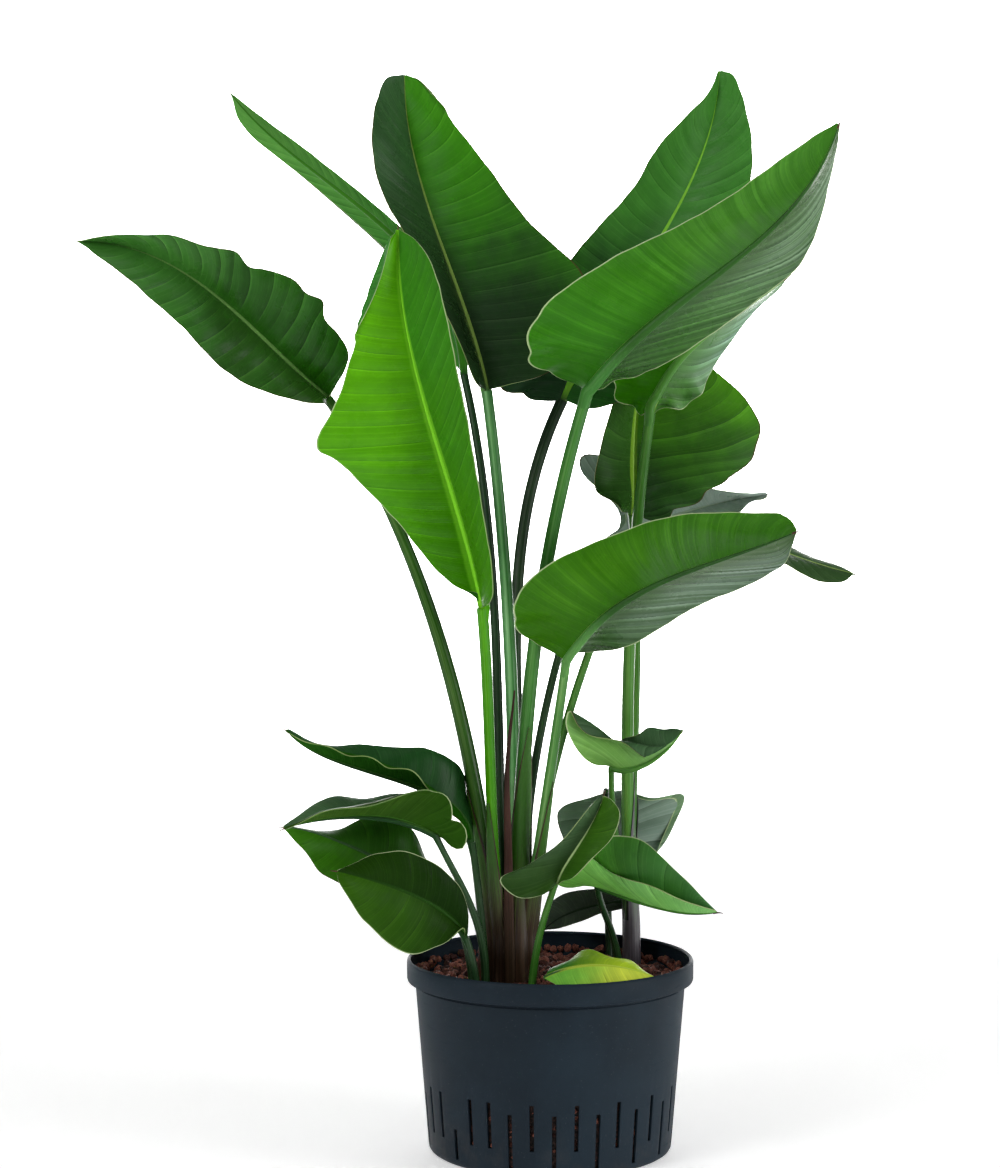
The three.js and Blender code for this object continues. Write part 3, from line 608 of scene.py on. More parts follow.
def build_leaf(name, leaf, skins):
    length = length_of(smooth_curve(leaf["rib"]))
    rows = int(np.clip(length / 0.0024, 56, 150))
    columns = 36 if length > 0.2 else 26
    points, reach, veins = blade_surface(leaf, rows, columns)
    run = np.gradient(points, axis=0)
    span = np.gradient(points, axis=1)
    normal = unit(np.cross(span, run))
    mesh = bmesh.new()
    share = np.linspace(0, 1, rows + 1)
    across = np.linspace(0, 1, columns + 1)
    spans, lengths = {}, {}
    for face_side, skin in ((1, 0), (-1, 1)):
        verts = grid_points(mesh, rows, columns)
        for i, vert in enumerate(verts):
            r, c = divmod(i, columns + 1)
            vert.co = points[r, c] + normal[r, c] * face_side * BLADE / 2
            spans[vert] = (across[c], share[r])
            lengths[vert] = (reach[r, c], veins[r, c])
        faces = faces_of(verts)
        for face in faces:
            face.material_index = skin
        if face_side < 0:
            bmesh.ops.reverse_faces(mesh, faces=faces)
    border = [e for e in mesh.edges if e.is_boundary]
    for face in bmesh.ops.bridge_loops(mesh, edges=border)["faces"]:
        face.material_index = 2
    lay_coordinates(mesh, mesh.faces, spans, ["span"])
    lay_coordinates(mesh, mesh.faces, lengths, ["veins"])
    middle = columns // 2
    picks = np.linspace(2, rows - 2, min(rows, 60)).astype(int)
    rod = points[picks, middle]
    taper = leaf["thick"][0] * MM * 0.95 * (1 - picks / rows) + 0.0006
    rod = rod - normal[picks, middle] * (taper * 0.4)[:, None]
    facing = normal[picks, middle]
    if leaf["stalk"]:
        neck = smooth_curve([leaf["rib"][0], *leaf["stalk"]])
        neck = by_length(neck, np.linspace(0.018 / length_of(neck), 0.0005, 8))
        ease = np.linspace(0, 1, 8)[:, None] ** 1.5
        neck = neck - ease * facing[0] * taper[0] * 0.4
        taper = np.concatenate([np.linspace(0.96, 1.03, 8) * leaf["thick"][0] * MM, taper])
        rod = np.vstack([neck, rod])
        facing = np.vstack([np.repeat(facing[:1], 8, axis=0), facing])
    add_tube(mesh, rod, taper, 16, 3, twist_from=facing)
    end, heading = points[-1, middle], unit(points[-1, middle] - points[-8, middle])
    drip = np.linspace(-0.004, 0.006, 12)[:, None]
    spike = end + heading * drip - normal[-1, middle] * (0.0006 + np.clip(drip, 0, 1) ** 2 * 40)
    add_tube(mesh, spike, np.linspace(0.0011, 0.00035, 12), 8, 4)
    finish_piece("leaf_" + name, mesh, skins, ["blade_" + name])


# %% [markdown]
# Leaf finish
#
# A fresh leaf is dark green and waxy above and paler below. Fine side veins run close together,
# a crease shows as a thin line of painted shade with a painted highlight beside it every couple of
# centimetres, the margin is a thin pale line, and the green is never even. Painted shade lies between
# the creases, and on some undersides painted shade lies by the midrib with a painted sheen further out.
# The finish reads the two sets of coordinates of the blade, so the veins follow each leaf however it
# bends.

# %% Leaf finish
HALVES = (0.497, 0.503)


def leaf_finish(name, look, tones, rib, edge, veins=0.2, line=(0.5, 0.5), crease_highlight=0.0, band=1.0,
                painted_sheen=(0.0, 0.0)):
    """tones are the two halves' colours at the base and at the tip. line (by half) and crease_highlight
    set how much painted shade darkens the creases and painted highlight lightens beside them, band
    widens the light line along the midrib, and painted_sheen sets, by half, how much painted shade lies
    by the midrib and how much painted highlight pales the blade towards the margin."""
    f = Finish(name)
    across, share, _ = f.parts(f.spread("span"))
    reach, vein, _ = f.parts(f.spread("veins"))
    rough, gloss = look["rough"], look["shine"]

    def by_half(left, right):
        return f.ramp(across, *HALVES, left, right)

    fine = f.stripes(vein, 780)
    broad = f.stripes(vein, 120, 1)
    distance = f.away(reach)
    # the green of each half, from base to tip, with uneven patches
    where = f.ragged(share, f.noise(f.place, 11, 4), 0.9)
    halves = [f.blend(f.ramp(where, 0.15, 0.85), *(paint(*c) for c in half)) for half in tones]
    colour = f.blend(by_half(0.0, 1.0), *halves)
    tone = f.plus(f.times(f.noise(f.place, 60), 0.5), f.times(broad, 0.5))
    # painted sheen: painted shade darkens the blade by the midrib, and a painted highlight pales it further
    # out, in streaks
    if painted_sheen != (0.0, 0.0):
        highlight_mask = f.times(f.ramp(distance, 0.006, 0.036), f.ramp(distance, 0.045, 0.072, 1, 0.4))
        highlight_mask = f.times(highlight_mask, f.ramp(broad, 0.36, 0.6, 0.35, 1))
        highlight_mask = f.times(highlight_mask, f.ramp(share, 0.1, 0.42, 0.3, 1))
        outward = f.blend(highlight_mask, (0.55, 0.72, 0.42, 1), (2.6, 2.05, 3.7, 1))
        colour = f.blend(by_half(*painted_sheen), colour, f.tint(colour, outward))
    colour = f.blend(f.ramp(tone, 0.4, 0.66, 0, 0.6), colour, f.tint(colour, (1.3, 1.22, 1.25, 1)))
    # fine veins
    pale = f.blend(0.05, f.tint(colour, (2.0, 1.75, 1.9, 1)), (0.3, 0.45, 0.22, 1))
    colour = f.blend(f.ramp(fine, 0.5, 0.75, 0, veins), colour, pale)
    # painted shade from crease to crease, and painted shade and a painted highlight on the two sides of each
    # crease
    phase = f.sums("FRACT", f.sums("DIVIDE", vein, CREASE_PITCH))
    wander = f.ramp(f.stripes(vein, 38, 1), 0.35, 0.6, 0.35, 1)
    amount = f.times(by_half(*look["flanks"]), f.times(wander, f.ramp(distance, 0.0, 0.025)))
    shaded = f.blend(f.ramp(phase, 0.05, 0.95), (0.4, 0.45, 0.42, 1), (1.3, 1.25, 1.35, 1))
    colour = f.blend(amount, colour, f.tint(colour, shaded))
    shown = f.times(wander, f.ramp(distance, 0.004, 0.02))
    shaded_crease_side = f.times(f.ramp(phase, 0.0, 0.09, 1, 0), shown)
    lit_crease_side = f.times(f.ramp(phase, 0.9, 0.985), shown)
    colour = f.blend(f.times(shaded_crease_side, by_half(*line)), colour, f.tint(colour, (0.4, 0.48, 0.4, 1)))
    colour = f.blend(f.times(lit_crease_side, crease_highlight), colour, pale)
    # the light line along the midrib and the thin line at the margin
    half_width = f.plus(f.times(f.sums("SUBTRACT", 1.0, share), 0.0026), 0.0006)
    on_rib = f.ramp(f.sums("DIVIDE", distance, half_width), 0.8 * band, 1.3 * band, 1, 0)
    colour = f.blend(f.times(on_rib, 0.7), colour, paint(*rib))
    on_edge = f.ramp(f.sums("PINGPONG", across, 0.5), 0.002, 0.009, 1, 0)
    colour = f.blend(f.times(on_edge, 0.8), colour, paint(*edge))
    shine = gloss[0] if gloss[0] == gloss[1] else f.ramp(across, 0.49, 0.51, *gloss)
    f.put(Base_Color=colour, Specular_IOR_Level=shine,
          Roughness=f.ramp(f.noise(f.place, 30, 4), 0.3, 0.7, rough - 0.07, rough + 0.09))
    height = f.plus(f.times(fine, 0.7), f.times(shaded_crease_side, -0.8))
    f.bump(f.plus(height, f.times(f.noise(f.place, 260, 2), 0.08)), 0.00035, 0.8)
    return f.material


def rod_finish(name, deep, light, rough=0.36, foot=None, above=None, far=None, gloss=0.22, painted_highlight=0.0):
    """A stalk or midrib: fine lengthwise lines, and a green that changes slowly along it.
    foot is the colour of its lower end, above that of a midrib where it shows on the blade's
    upper face, and far holds the two colours of its outer part. painted_highlight sets how strongly
    a painted highlight runs down the front, with painted shade on the flanks."""
    f = Finish(name)
    turn, run, _ = f.parts(f.spread("span"))
    strands = f.stretched(f.spread("span"), (26, 9, 1), 3)
    mix = f.ramp(f.plus(f.times(f.noise(f.place, 7), 0.7), f.times(strands, 0.3)), 0.35, 0.65)
    colour = f.blend(mix, paint(*deep), paint(*light))
    # painted shade darkens the stalk's flanks and a painted highlight runs down its front
    if painted_highlight:
        off_front = f.away(turn, 0.79)
        flank = f.tint(colour, (0.66, 0.72, 0.66, 1))
        lit = f.tint(colour, (4.0, 2.5, 3.8, 1))
        colour = f.blend(f.ramp(off_front, 0.06, 0.2), colour, flank)
        colour = f.blend(f.ramp(off_front, 0.005, 0.085, painted_highlight, 0), colour, lit)
    if far:
        colour = f.blend(f.ramp(run, 0.035, 0.09), colour, f.blend(mix, *(paint(*c) for c in far)))
    if foot:
        dry = paint(*foot)
        brown = f.blend(f.ramp(strands, 0.35, 0.65), dry, tinted(dry, 2.1))
        height = f.ragged(f.parts(f.place)[2], strands, 0.16)
        colour = f.blend(f.ramp(height, 0.19, 0.29), brown, colour)
    if above:
        seen = paint(*above)
        shown = f.times(f.ramp(f.away(turn, 0.25), 0.19, 0.23, 1, 0), f.ramp(run, 0.012, 0.03))
        colour = f.blend(shown, colour, f.blend(mix, seen, tinted(seen, 1.35)))
    f.put(Base_Color=colour, Specular_IOR_Level=gloss,
          Roughness=f.ramp(strands, 0.3, 0.7, rough - 0.06, rough + 0.08))
    f.bump(strands, 0.0003, 0.7)
    return f.material


# %% [markdown]
# Leaf colours
#
# Colours are written as a screen shows them, 0 to 255. top holds the left and the right half of
# the upper face and below those of the lower face, each from its base to its tip. Many of these
# colours were matched to how bright each half looks where it stands, so they hold painted light
# besides the leaf's own green: a backlit half, such as the upper face of front_left, is bright with
# painted light shining through it, and halves and stalks in shade, such as tall_right's stalk, are
# dark with painted shade. What a leaf leaves out is as in PLAIN_LOOK, which also says what each
# setting does.

# %% Leaf colours
EDGE_PALE = (206, 224, 170)
EDGE_BROWN = (84, 60, 44)
RIB_BELOW = (72, 130, 46)
DRY_TIP = ((58, 36, 30), (96, 66, 44))
MID_GREEN = ((48, 86, 33), (65, 112, 46))
DEEP_GREEN = ((37, 73, 22), (50, 98, 30))
LOW_GREEN = ((42, 78, 26), (54, 94, 38))
STALK_GREEN = ((50, 104, 32), (80, 136, 52))
LOW_STALK = ((28, 58, 30), (48, 84, 44))
# painted shade: darkens the outer part of the midrib below front_right and mid_right
SHADED_UNDER_RIB = ((26, 66, 12), (44, 96, 24))
ROLLED_RIB = ((60, 112, 44), (84, 140, 64))
PLAIN_LOOK = dict(
    rib=(138, 168, 82),            # the midrib where it shows on the upper face
    stalk=STALK_GREEN,             # the stalk and the midrib, deep and light
    far=None,                      # the outer part of the midrib, deep and light
    edge=EDGE_BROWN,               # the thin line at the margin of the upper face
    margin=(170, 190, 130),        # the narrow strip between the two faces
    flanks=(0.2, 0.2),             # shade between creases, by half of the seen face
    line=(0.75, 0.75),             # painted shade in the creases below, by half
    shine=(0.22, 0.22),            # by half
    painted_sheen=(0.0, 0.0),              # painted shade by the midrib and painted highlight outside, by half
    pale=0.25,                     # painted highlight beside the creases above
    band=1.0,                      # width of the light line along the midrib
    painted_highlight=0.22,                   # painted highlight down the front of the stalk, painted shade on its flanks
    rough=0.28, rib_gloss=0.2, stalk_gloss=0.2)
LOOKS = {
    "rolled": dict(
        top=[((56, 116, 44), (88, 150, 66))] * 2,
        below=[((44, 72, 48), (62, 94, 62)), ((100, 146, 104), (104, 160, 92))], rib=(52, 108, 26),
        stalk=((24, 44, 26), (40, 68, 40)), flanks=(0.5, 0.5), shine=(0, 0), painted_sheen=(0.3, 0.5),
        painted_highlight=0.6, far=ROLLED_RIB, rib_gloss=0.05, stalk_gloss=0.12, rough=0.42),
    "tall_left": dict(
        top=[((31, 57, 26), (50, 88, 46)), ((43, 68, 40), (60, 134, 24))], below=[MID_GREEN] * 2,
        rib=(128, 160, 74), stalk=((50, 108, 50), (88, 148, 84)), flanks=(0.15, 0.15),
        shine=(0.18, 0.04), painted_highlight=0.85, pale=0.5),
    # front_left's bright yellow-green upper face holds painted light shining through the backlit leaf
    "front_left": dict(
        top=[((64, 138, 4), (92, 174, 14)), ((60, 126, 14), (56, 126, 26))],
        below=[((44, 104, 30), (58, 128, 44)), ((52, 108, 30), (58, 116, 38))], rib=(124, 200, 44),
        stalk=((58, 134, 4), (80, 162, 12)), shine=(0.14, 0.03), band=2.4, painted_highlight=0.12, pale=0.55,
        edge=EDGE_PALE, margin=(60, 104, 36), rib_gloss=0.05),
    "far_left": dict(
        top=[((39, 80, 21), (57, 112, 41)), ((29, 78, 9), (60, 117, 43))], below=[MID_GREEN] * 2,
        rib=(92, 132, 66), stalk=((34, 74, 14), (58, 98, 38)), flanks=(0.45, 0.7), shine=(0.14, 0.14),
        painted_highlight=0.35, pale=0.7, rib_gloss=0.05),
    # tall_right's very dark stalk holds painted shade
    "tall_right": dict(
        top=[((30, 57, 32), (62, 124, 44)), ((42, 98, 36), (65, 130, 48))],
        below=[((33, 67, 23), (55, 98, 41))] * 2, rib=(122, 186, 54), stalk=((34, 52, 34), (54, 76, 50)),
        flanks=(0.15, 0.35), shine=(0.04, 0.18), stalk_gloss=0.12),
    "front_right": dict(
        top=[DEEP_GREEN] * 2, below=[((48, 94, 28), (74, 106, 60)), ((52, 120, 18), (62, 124, 30))],
        stalk=((50, 112, 40), (80, 142, 62)), flanks=(0.85, 0.1), shine=(0.3, 0.1), painted_sheen=(0.9, 0.3),
        line=(0.9, 0.25), far=SHADED_UNDER_RIB),
    "side_upper": dict(
        top=[DEEP_GREEN] * 2, below=[((61, 116, 33), (112, 152, 108)), ((50, 120, 6), (48, 110, 8))],
        stalk=((62, 120, 38), (96, 154, 64)), flanks=(0.8, 0.15), shine=(0.3, 0.05), painted_sheen=(0.5, 0.0),
        line=(0.9, 0.3)),
    "side_middle": dict(
        top=[((40, 76, 26), (56, 102, 34)), ((46, 84, 36), (80, 150, 28))], below=[MID_GREEN] * 2,
        rib=(130, 176, 50), flanks=(0.3, 0.7), shine=(0.04, 0.1), band=1.8),
    "mid_right": dict(
        top=[DEEP_GREEN] * 2, below=[((48, 86, 30), (80, 108, 70)), ((56, 114, 13), (52, 110, 17))],
        stalk=((58, 116, 46), (92, 148, 72)), flanks=(0.8, 0.1), shine=(0.3, 0.08), painted_sheen=(0.9, 0.25),
        line=(0.9, 0.25), painted_highlight=0.35, far=SHADED_UNDER_RIB),
    "back_right": dict(
        top=[((92, 112, 96), (128, 146, 134))] * 2, below=[((84, 106, 84), (110, 132, 110))] * 2,
        rib=(120, 136, 116), stalk=((34, 58, 34), (58, 88, 54)), stalk_gloss=0.12),
    "drooping": dict(
        top=[((40, 69, 33), (65, 94, 56)), ((33, 57, 26), (52, 80, 43))],
        below=[((55, 86, 46), (78, 108, 65)), ((46, 75, 38), (61, 94, 51))], shine=(0.05, 0.05)),
    "low_left_upper": dict(
        top=[((24, 72, 8), (36, 84, 18)), ((22, 64, 22), (28, 74, 28))],
        below=[((24, 66, 12), (34, 84, 20)), ((26, 66, 14), (36, 84, 22))], rib=(44, 80, 30),
        stalk=LOW_STALK, shine=(0.0, 0.12), rib_gloss=0.05, rough=0.42),
    "low_left_middle": dict(
        top=[((28, 62, 8), (50, 82, 24)), ((56, 84, 54), (74, 108, 70))],
        below=[((34, 72, 8), (54, 88, 26)), ((46, 76, 38), (62, 98, 50))], rib=(48, 84, 30),
        stalk=LOW_STALK, shine=(0.03, 0.03), edge=EDGE_PALE, margin=(60, 104, 36), rib_gloss=0.05,
        rough=0.42),
    "low_left_back": dict(
        top=[((36, 76, 6), (54, 112, 18)), ((32, 72, 12), (44, 92, 22))], below=[LOW_GREEN] * 2,
        rib=(50, 80, 44), stalk=LOW_STALK, shine=(0.05, 0.05), margin=(60, 104, 36), rib_gloss=0.05,
        rough=0.42),
    "low_left_round": dict(
        top=[((24, 52, 6), (46, 88, 12)), ((16, 44, 2), (24, 54, 4))], below=[LOW_GREEN] * 2,
        rib=(28, 62, 10), stalk=LOW_STALK, shine=(0.05, 0.05), edge=EDGE_PALE, rib_gloss=0.05,
        rough=0.42),
    "low_right_front": dict(
        top=[((68, 132, 32), (62, 114, 56)), ((114, 186, 74), (126, 190, 104))],
        below=[((48, 84, 32), (60, 100, 42)), ((116, 186, 80), (126, 190, 106))], rib=(60, 110, 40),
        stalk=LOW_STALK, shine=(0.08, 0.08), edge=EDGE_PALE, rib_gloss=0.05, rough=0.42),
    "low_right_curled": dict(
        top=[((40, 72, 22), (66, 94, 60)), ((44, 84, 18), (54, 98, 22))],
        below=[((42, 78, 24), (66, 92, 58))] * 2, rib=(176, 200, 140), shine=(0.06, 0.06),
        edge=EDGE_PALE, rib_gloss=0.05, rough=0.42),
    "side_small": dict(
        top=[((48, 78, 44), (60, 92, 58))] * 2,
        below=[((60, 92, 54), (70, 104, 66)), ((114, 166, 80), (122, 172, 100))], rib=(90, 140, 60),
        shine=(0.08, 0.08)),
    "low_back": dict(
        top=[((114, 138, 118), (138, 162, 146)), ((96, 124, 96), (116, 144, 118))],
        below=[((100, 138, 92), (130, 162, 124)), ((76, 108, 68), (96, 128, 88))], rib=(84, 110, 70),
        stalk=LOW_STALK, flanks=(0.6, 0.6), rib_gloss=0.05, rough=0.42),
    "low_dark": dict(
        top=[((50, 62, 48), (62, 76, 60)), ((48, 58, 46), (62, 76, 62))],
        below=[((26, 36, 26), (34, 44, 34))] * 2, rib=(34, 50, 30), stalk=LOW_STALK, shine=(0.1, 0.1),
        rib_gloss=0.05, rough=0.42),
    "fallen": dict(
        top=[((50, 120, 34), (180, 210, 50)), ((128, 206, 76), (212, 230, 80))],
        below=[((120, 168, 40), (190, 206, 70))] * 2, rib=(190, 214, 70), shine=(0.02, 0.02),
        edge=EDGE_PALE, rough=0.42),
}


def look_of(name):
    return {**PLAIN_LOOK, **LOOKS[name]}


def skins_for(name):
    look = look_of(name)
    top = leaf_finish("leaf_top_" + name, look, look["top"], look["rib"], look["edge"],
                      band=look["band"], crease_highlight=look["pale"])
    below = leaf_finish("leaf_below_" + name, look, look["below"], RIB_BELOW, EDGE_PALE,
                        veins=0.25, line=look["line"], painted_sheen=look["painted_sheen"])
    return [top, below, rod_finish("margin_" + name, look["margin"], (110, 140, 70)),
            rod_finish("midrib_" + name, *look["stalk"], above=look["rib"], far=look["far"],
                       gloss=look["rib_gloss"]),
            rod_finish("dry_tip_" + name, *DRY_TIP)]


for leaf_name, leaf in LEAVES.items():
    build_leaf(leaf_name, leaf, skins_for(leaf_name))

# %% [markdown]
# Stalks
#
# Each stalk is a long round rod that leaves the midrib's base and grows thicker on its way down,
# where its foot widens into a sheath round the younger stalks. It is a rolled grid on the same
# curve as in the frame, carried on down into the clump.

# %% Stalks
CLUMP = (-0.039, -0.012)
SHOOT = (0.082, 0.066)
CLUMP_TOP = 0.300
IN_CLUMP = ["rolled", "tall_left", "front_left", "far_left", "tall_right", "front_right",
            "mid_right", "back_right", "drooping"]
IN_SHOOT = ["side_upper", "side_middle", "side_small"]

SHEATH_BROWN = (56, 38, 22)
SHOOT_BROWN = (38, 36, 38)
STAND = 0.152


def stalk_line(name, leaf, steps):
    """The stalk's curve from the blade down; in a clump it goes straight on into the granules."""
    curve = smooth_curve([leaf["rib"][0], *leaf["stalk"]])
    if name in IN_CLUMP + IN_SHOOT:
        foot = curve[-1]
        down = np.linspace(foot[2], STAND, 40)[1:, None]
        ease = np.linspace(0, 1, 40)[1:, None] ** 0.5
        lean = (curve[-1] - curve[-2]) / np.abs(curve[-1] - curve[-2])[2] * 0.012
        straight = np.hstack([foot[None, :2] + lean[None, :2] * ease, down])
        curve = np.vstack([curve, straight])
    return by_length(curve, np.linspace(0.002, 1, steps))


def stalk_radii(name, leaf, line):
    top, foot = (r * MM for r in leaf["thick"])
    radii = top + (foot - top) * np.linspace(0, 1, len(line))
    if name in IN_CLUMP + IN_SHOOT:
        down = np.clip((CLUMP_TOP - line[:, 2]) / (CLUMP_TOP - STAND), 0, 1)
        radii = radii + (0.003 if name in IN_CLUMP else 0.001) * down ** 0.8
    return radii


def build_stalk(name, leaf):
    line = stalk_line(name, leaf, 70)
    mesh = bmesh.new()
    add_tube(mesh, line, stalk_radii(name, leaf, line), 20, 0)
    look = look_of(name)
    foot = SHEATH_BROWN if name in IN_CLUMP else SHOOT_BROWN if name in IN_SHOOT else None
    skin = rod_finish("stalk_skin_" + name, *look["stalk"], 0.28, foot=foot,
                      gloss=look["stalk_gloss"], painted_highlight=look["painted_highlight"])
    finish_piece("stalk_" + name, mesh, [skin], ["stem_" + name])


for leaf_name, leaf in LEAVES.items():
    if leaf["stalk"]:
        build_stalk(leaf_name, leaf)

# %% [markdown]
# Sheaths
#
# At the foot each stalk opens into a sheath, a split tube that wraps the younger stalks inside
# it. Its edges are dry and reddish brown and end in a point where the sheath closes into the
# stalk. Each one is a grid bent part of the way round its stalk and narrowed to that point.

# %% Sheath builder
def add_sheath(mesh, name, top, wrap, stand_off):
    line = stalk_line(name, LEAVES[name], 300)
    radii = stalk_radii(name, LEAVES[name], line)
    inside = (line[:, 2] < top) & (line[:, 2] > STAND)
    line, radii = line[inside], radii[inside]
    rows, columns = 40, 16
    share = np.linspace(0, 1, rows + 1)
    centre = by_length(line[::-1], share)
    size = np.interp(share, np.linspace(0, 1, len(radii)), radii[::-1])
    along = unit(np.gradient(centre, axis=0))
    outward = unit(np.array([centre[0, 0] - CLUMP[0], centre[0, 1] - CLUMP[1] - 0.004, 0]))
    side = unit(np.cross(along, outward))
    outward = np.cross(side, along)
    verts = grid_points(mesh, rows, columns)
    spot = {}
    for i, vert in enumerate(verts):
        r, c = divmod(i, columns + 1)
        reach = wrap * (1 - share[r] ** 3) + 0.1
        angle = reach * (2 * c / columns - 1)
        flare = stand_off * (1 - share[r]) ** 0.7 + 0.0007
        vert.co = centre[r] + (size[r] + flare) * (math.cos(angle) * outward[r]
                                                   + math.sin(angle) * side[r])
        spot[vert] = (c / columns, share[r])
    faces = faces_of(verts)
    lay_coordinates(mesh, faces, spot)
    bmesh.ops.recalc_face_normals(mesh, faces=faces)
    bmesh.ops.solidify(mesh, geom=faces, thickness=0.0007)


def sheath_finish(name, dry, fresh, low, high, shine=0.4):
    f = Finish(name)
    strands = f.stretched(f.spread("span"), (34, 2.2, 1), 4)
    green = f.ramp(f.ragged(f.parts(f.place)[2], strands, 0.14), low, high)
    from_edge = f.sums("PINGPONG", f.parts(f.spread("span"))[0], 0.5)
    green = f.times(green, f.ramp(from_edge, 0.03, 0.16))
    brown = f.blend(f.ramp(strands, 0.35, 0.68), dry, tinted(dry, 2.6))
    f.put(Base_Color=f.blend(green, brown, fresh), Specular_IOR_Level=shine,
          Roughness=f.ramp(strands, 0.3, 0.7, 0.3, 0.55))
    f.bump(strands, 0.0005, 0.8)
    return f.material


# %% Main clump and side shoot
def add_core(mesh, centre, half, low, high, top_share):
    made = bmesh.ops.create_cone(mesh, cap_ends=True, segments=32, radius1=1, radius2=top_share,
                                 depth=high - low)["verts"]
    bmesh.ops.scale(mesh, verts=made, vec=(half[0], half[1], 1))
    bmesh.ops.translate(mesh, verts=made, vec=(*centre, (low + high) / 2))


clump = bmesh.new()
add_core(clump, CLUMP, (0.019, 0.02), 0.15, 0.235, 0.6)
for leaf_name, top, wrap, stand_off in [
        ("rolled", 0.36, 1.7, 0.003), ("tall_right", 0.38, 1.6, 0.003), ("back_right", 0.33, 1.5, 0.003),
        ("drooping", 0.34, 1.5, 0.002), ("tall_left", 0.40, 1.9, 0.002), ("far_left", 0.36, 1.6, 0.004),
        ("front_left", 0.35, 1.4, 0.002), ("front_right", 0.42, 1.7, 0.003), ("mid_right", 0.37, 1.7, 0.003)]:
    add_sheath(clump, leaf_name, top, wrap, stand_off)
old_line = line_through([(-40, -38, 160), (-41, -40, 290), (-42, -38, 380), (-35, -34, 455)])
old_line = by_length(old_line, np.linspace(0, 1, 40))
add_tube(clump, old_line, 0.0056 * (1 - 0.86 * np.linspace(0, 1, 40) ** 1.4), 16, 1, flat=0.3)
finish_piece("clump_foot_sheaths", clump, [
    sheath_finish("clump_sheath", paint(51, 34, 20), paint(56, 112, 20), 0.21, 0.32),
    rod_finish("old_dry_sheath", (44, 26, 22), (86, 56, 46), 0.55, foot=(50, 36, 22))],
    ["clump_foot"])

shoot = bmesh.new()
add_core(shoot, SHOOT, (0.0085, 0.0085), 0.15, 0.215, 0.9)
for leaf_name, top, wrap in [("side_middle", 0.34, 2.2), ("side_upper", 0.37, 2.4),
                             ("side_small", 0.32, 1.8)]:
    add_sheath(shoot, leaf_name, top, wrap, 0.001)
finish_piece("shoot_foot_sheaths", shoot, [
    sheath_finish("shoot_sheath", paint(58, 54, 60), paint(60, 104, 46), 0.2, 0.28, shine=0.8)],
    ["shoot_foot"])
print("sheaths made")

# %% [markdown]
# Growing pot
#
# The pot is moulded in thin dark blue-grey plastic: a straight tapering wall, a band round the
# rim that stands out, a rounded foot, and three lengths of slots round its lower part through
# which roots get water. The outer skin is spun round the axis in two-degree steps, so that a
# slot is one step wide. The faces of the slots are taken out before the wall gets its thickness,
# which gives every slot its own inner edges.

# %% Pot
WALL = 0.0026
POT_STEPS = 180
SLOT_KINDS = "lhlhlhlhlhlhlhlhlhlhlhlhlhlhlhhshhlh"
SLOT_ENDS = {"h": (0.026, 0.071), "l": (0.008, 0.061), "s": (0.008, 0.038)}


def wall_radius(z):
    return 0.119 + (z - 0.006) * 0.013 / 0.161


def turned(profile, steps):
    """A shape turned round the pot's axis; the profile holds radii and heights."""
    made = bmesh.new()
    verts = [made.verts.new((0, -r, z)) for r, z in profile]
    edges = [made.edges.new(pair) for pair in zip(verts, verts[1:])]
    bmesh.ops.spin(made, geom=verts + edges, axis=(0, 0, 1), cent=(0, 0, 0), steps=steps,
                   angle=2 * math.pi, use_merge=True)
    bmesh.ops.remove_doubles(made, verts=made.verts, dist=1e-6)
    bmesh.ops.recalc_face_normals(made, faces=made.faces)
    return made


def build_pot():
    heights = sorted({z for ends in SLOT_ENDS.values() for z in ends})
    profile = [(0.0, 0.0), (0.06, 0.0), (0.1105, 0.0), (0.1145, 0.0006), (0.1173, 0.0024), (0.1187, 0.0048)]
    profile += [(wall_radius(z), z) for z in heights + [0.1, 0.135, 0.16, 0.1642]]
    profile += [(0.1310, 0.1650), (0.1309, 0.1662), (0.1322, 0.1674), (0.1352, 0.168), (0.1380, 0.1682),
                (0.1394, 0.1688), (0.1399, 0.1704), (0.14, 0.178), (0.14, 0.1866), (0.1394, 0.1886),
                (0.1378, 0.1899)]
    pot = turned(profile, POT_STEPS)
    steps_a_slot = POT_STEPS // len(SLOT_KINDS)
    gone = []
    for face in pot.faces:
        x, y, z = face.calc_center_median()
        step = int((math.degrees(math.atan2(x, -y)) % 360) // (360 / POT_STEPS))
        low, high = SLOT_ENDS[SLOT_KINDS[step // steps_a_slot]]
        if step % steps_a_slot == 0 and low < z < high and math.hypot(x, y) > 0.11:
            gone.append(face)
    bmesh.ops.delete(pot, geom=gone, context="FACES")
    piece = finish_piece("growing_pot", pot, [pot_finish()], ["pot"], sharp=35)
    wall = piece.modifiers.new("wall", "SOLIDIFY")
    wall.thickness = WALL
    wall.offset = -1
    wall.use_even_offset = True
    soft = piece.modifiers.new("soft_edges", "BEVEL")
    soft.width = 0.0005
    soft.segments = 2
    soft.limit_method = "ANGLE"
    soft.angle_limit = math.radians(40)


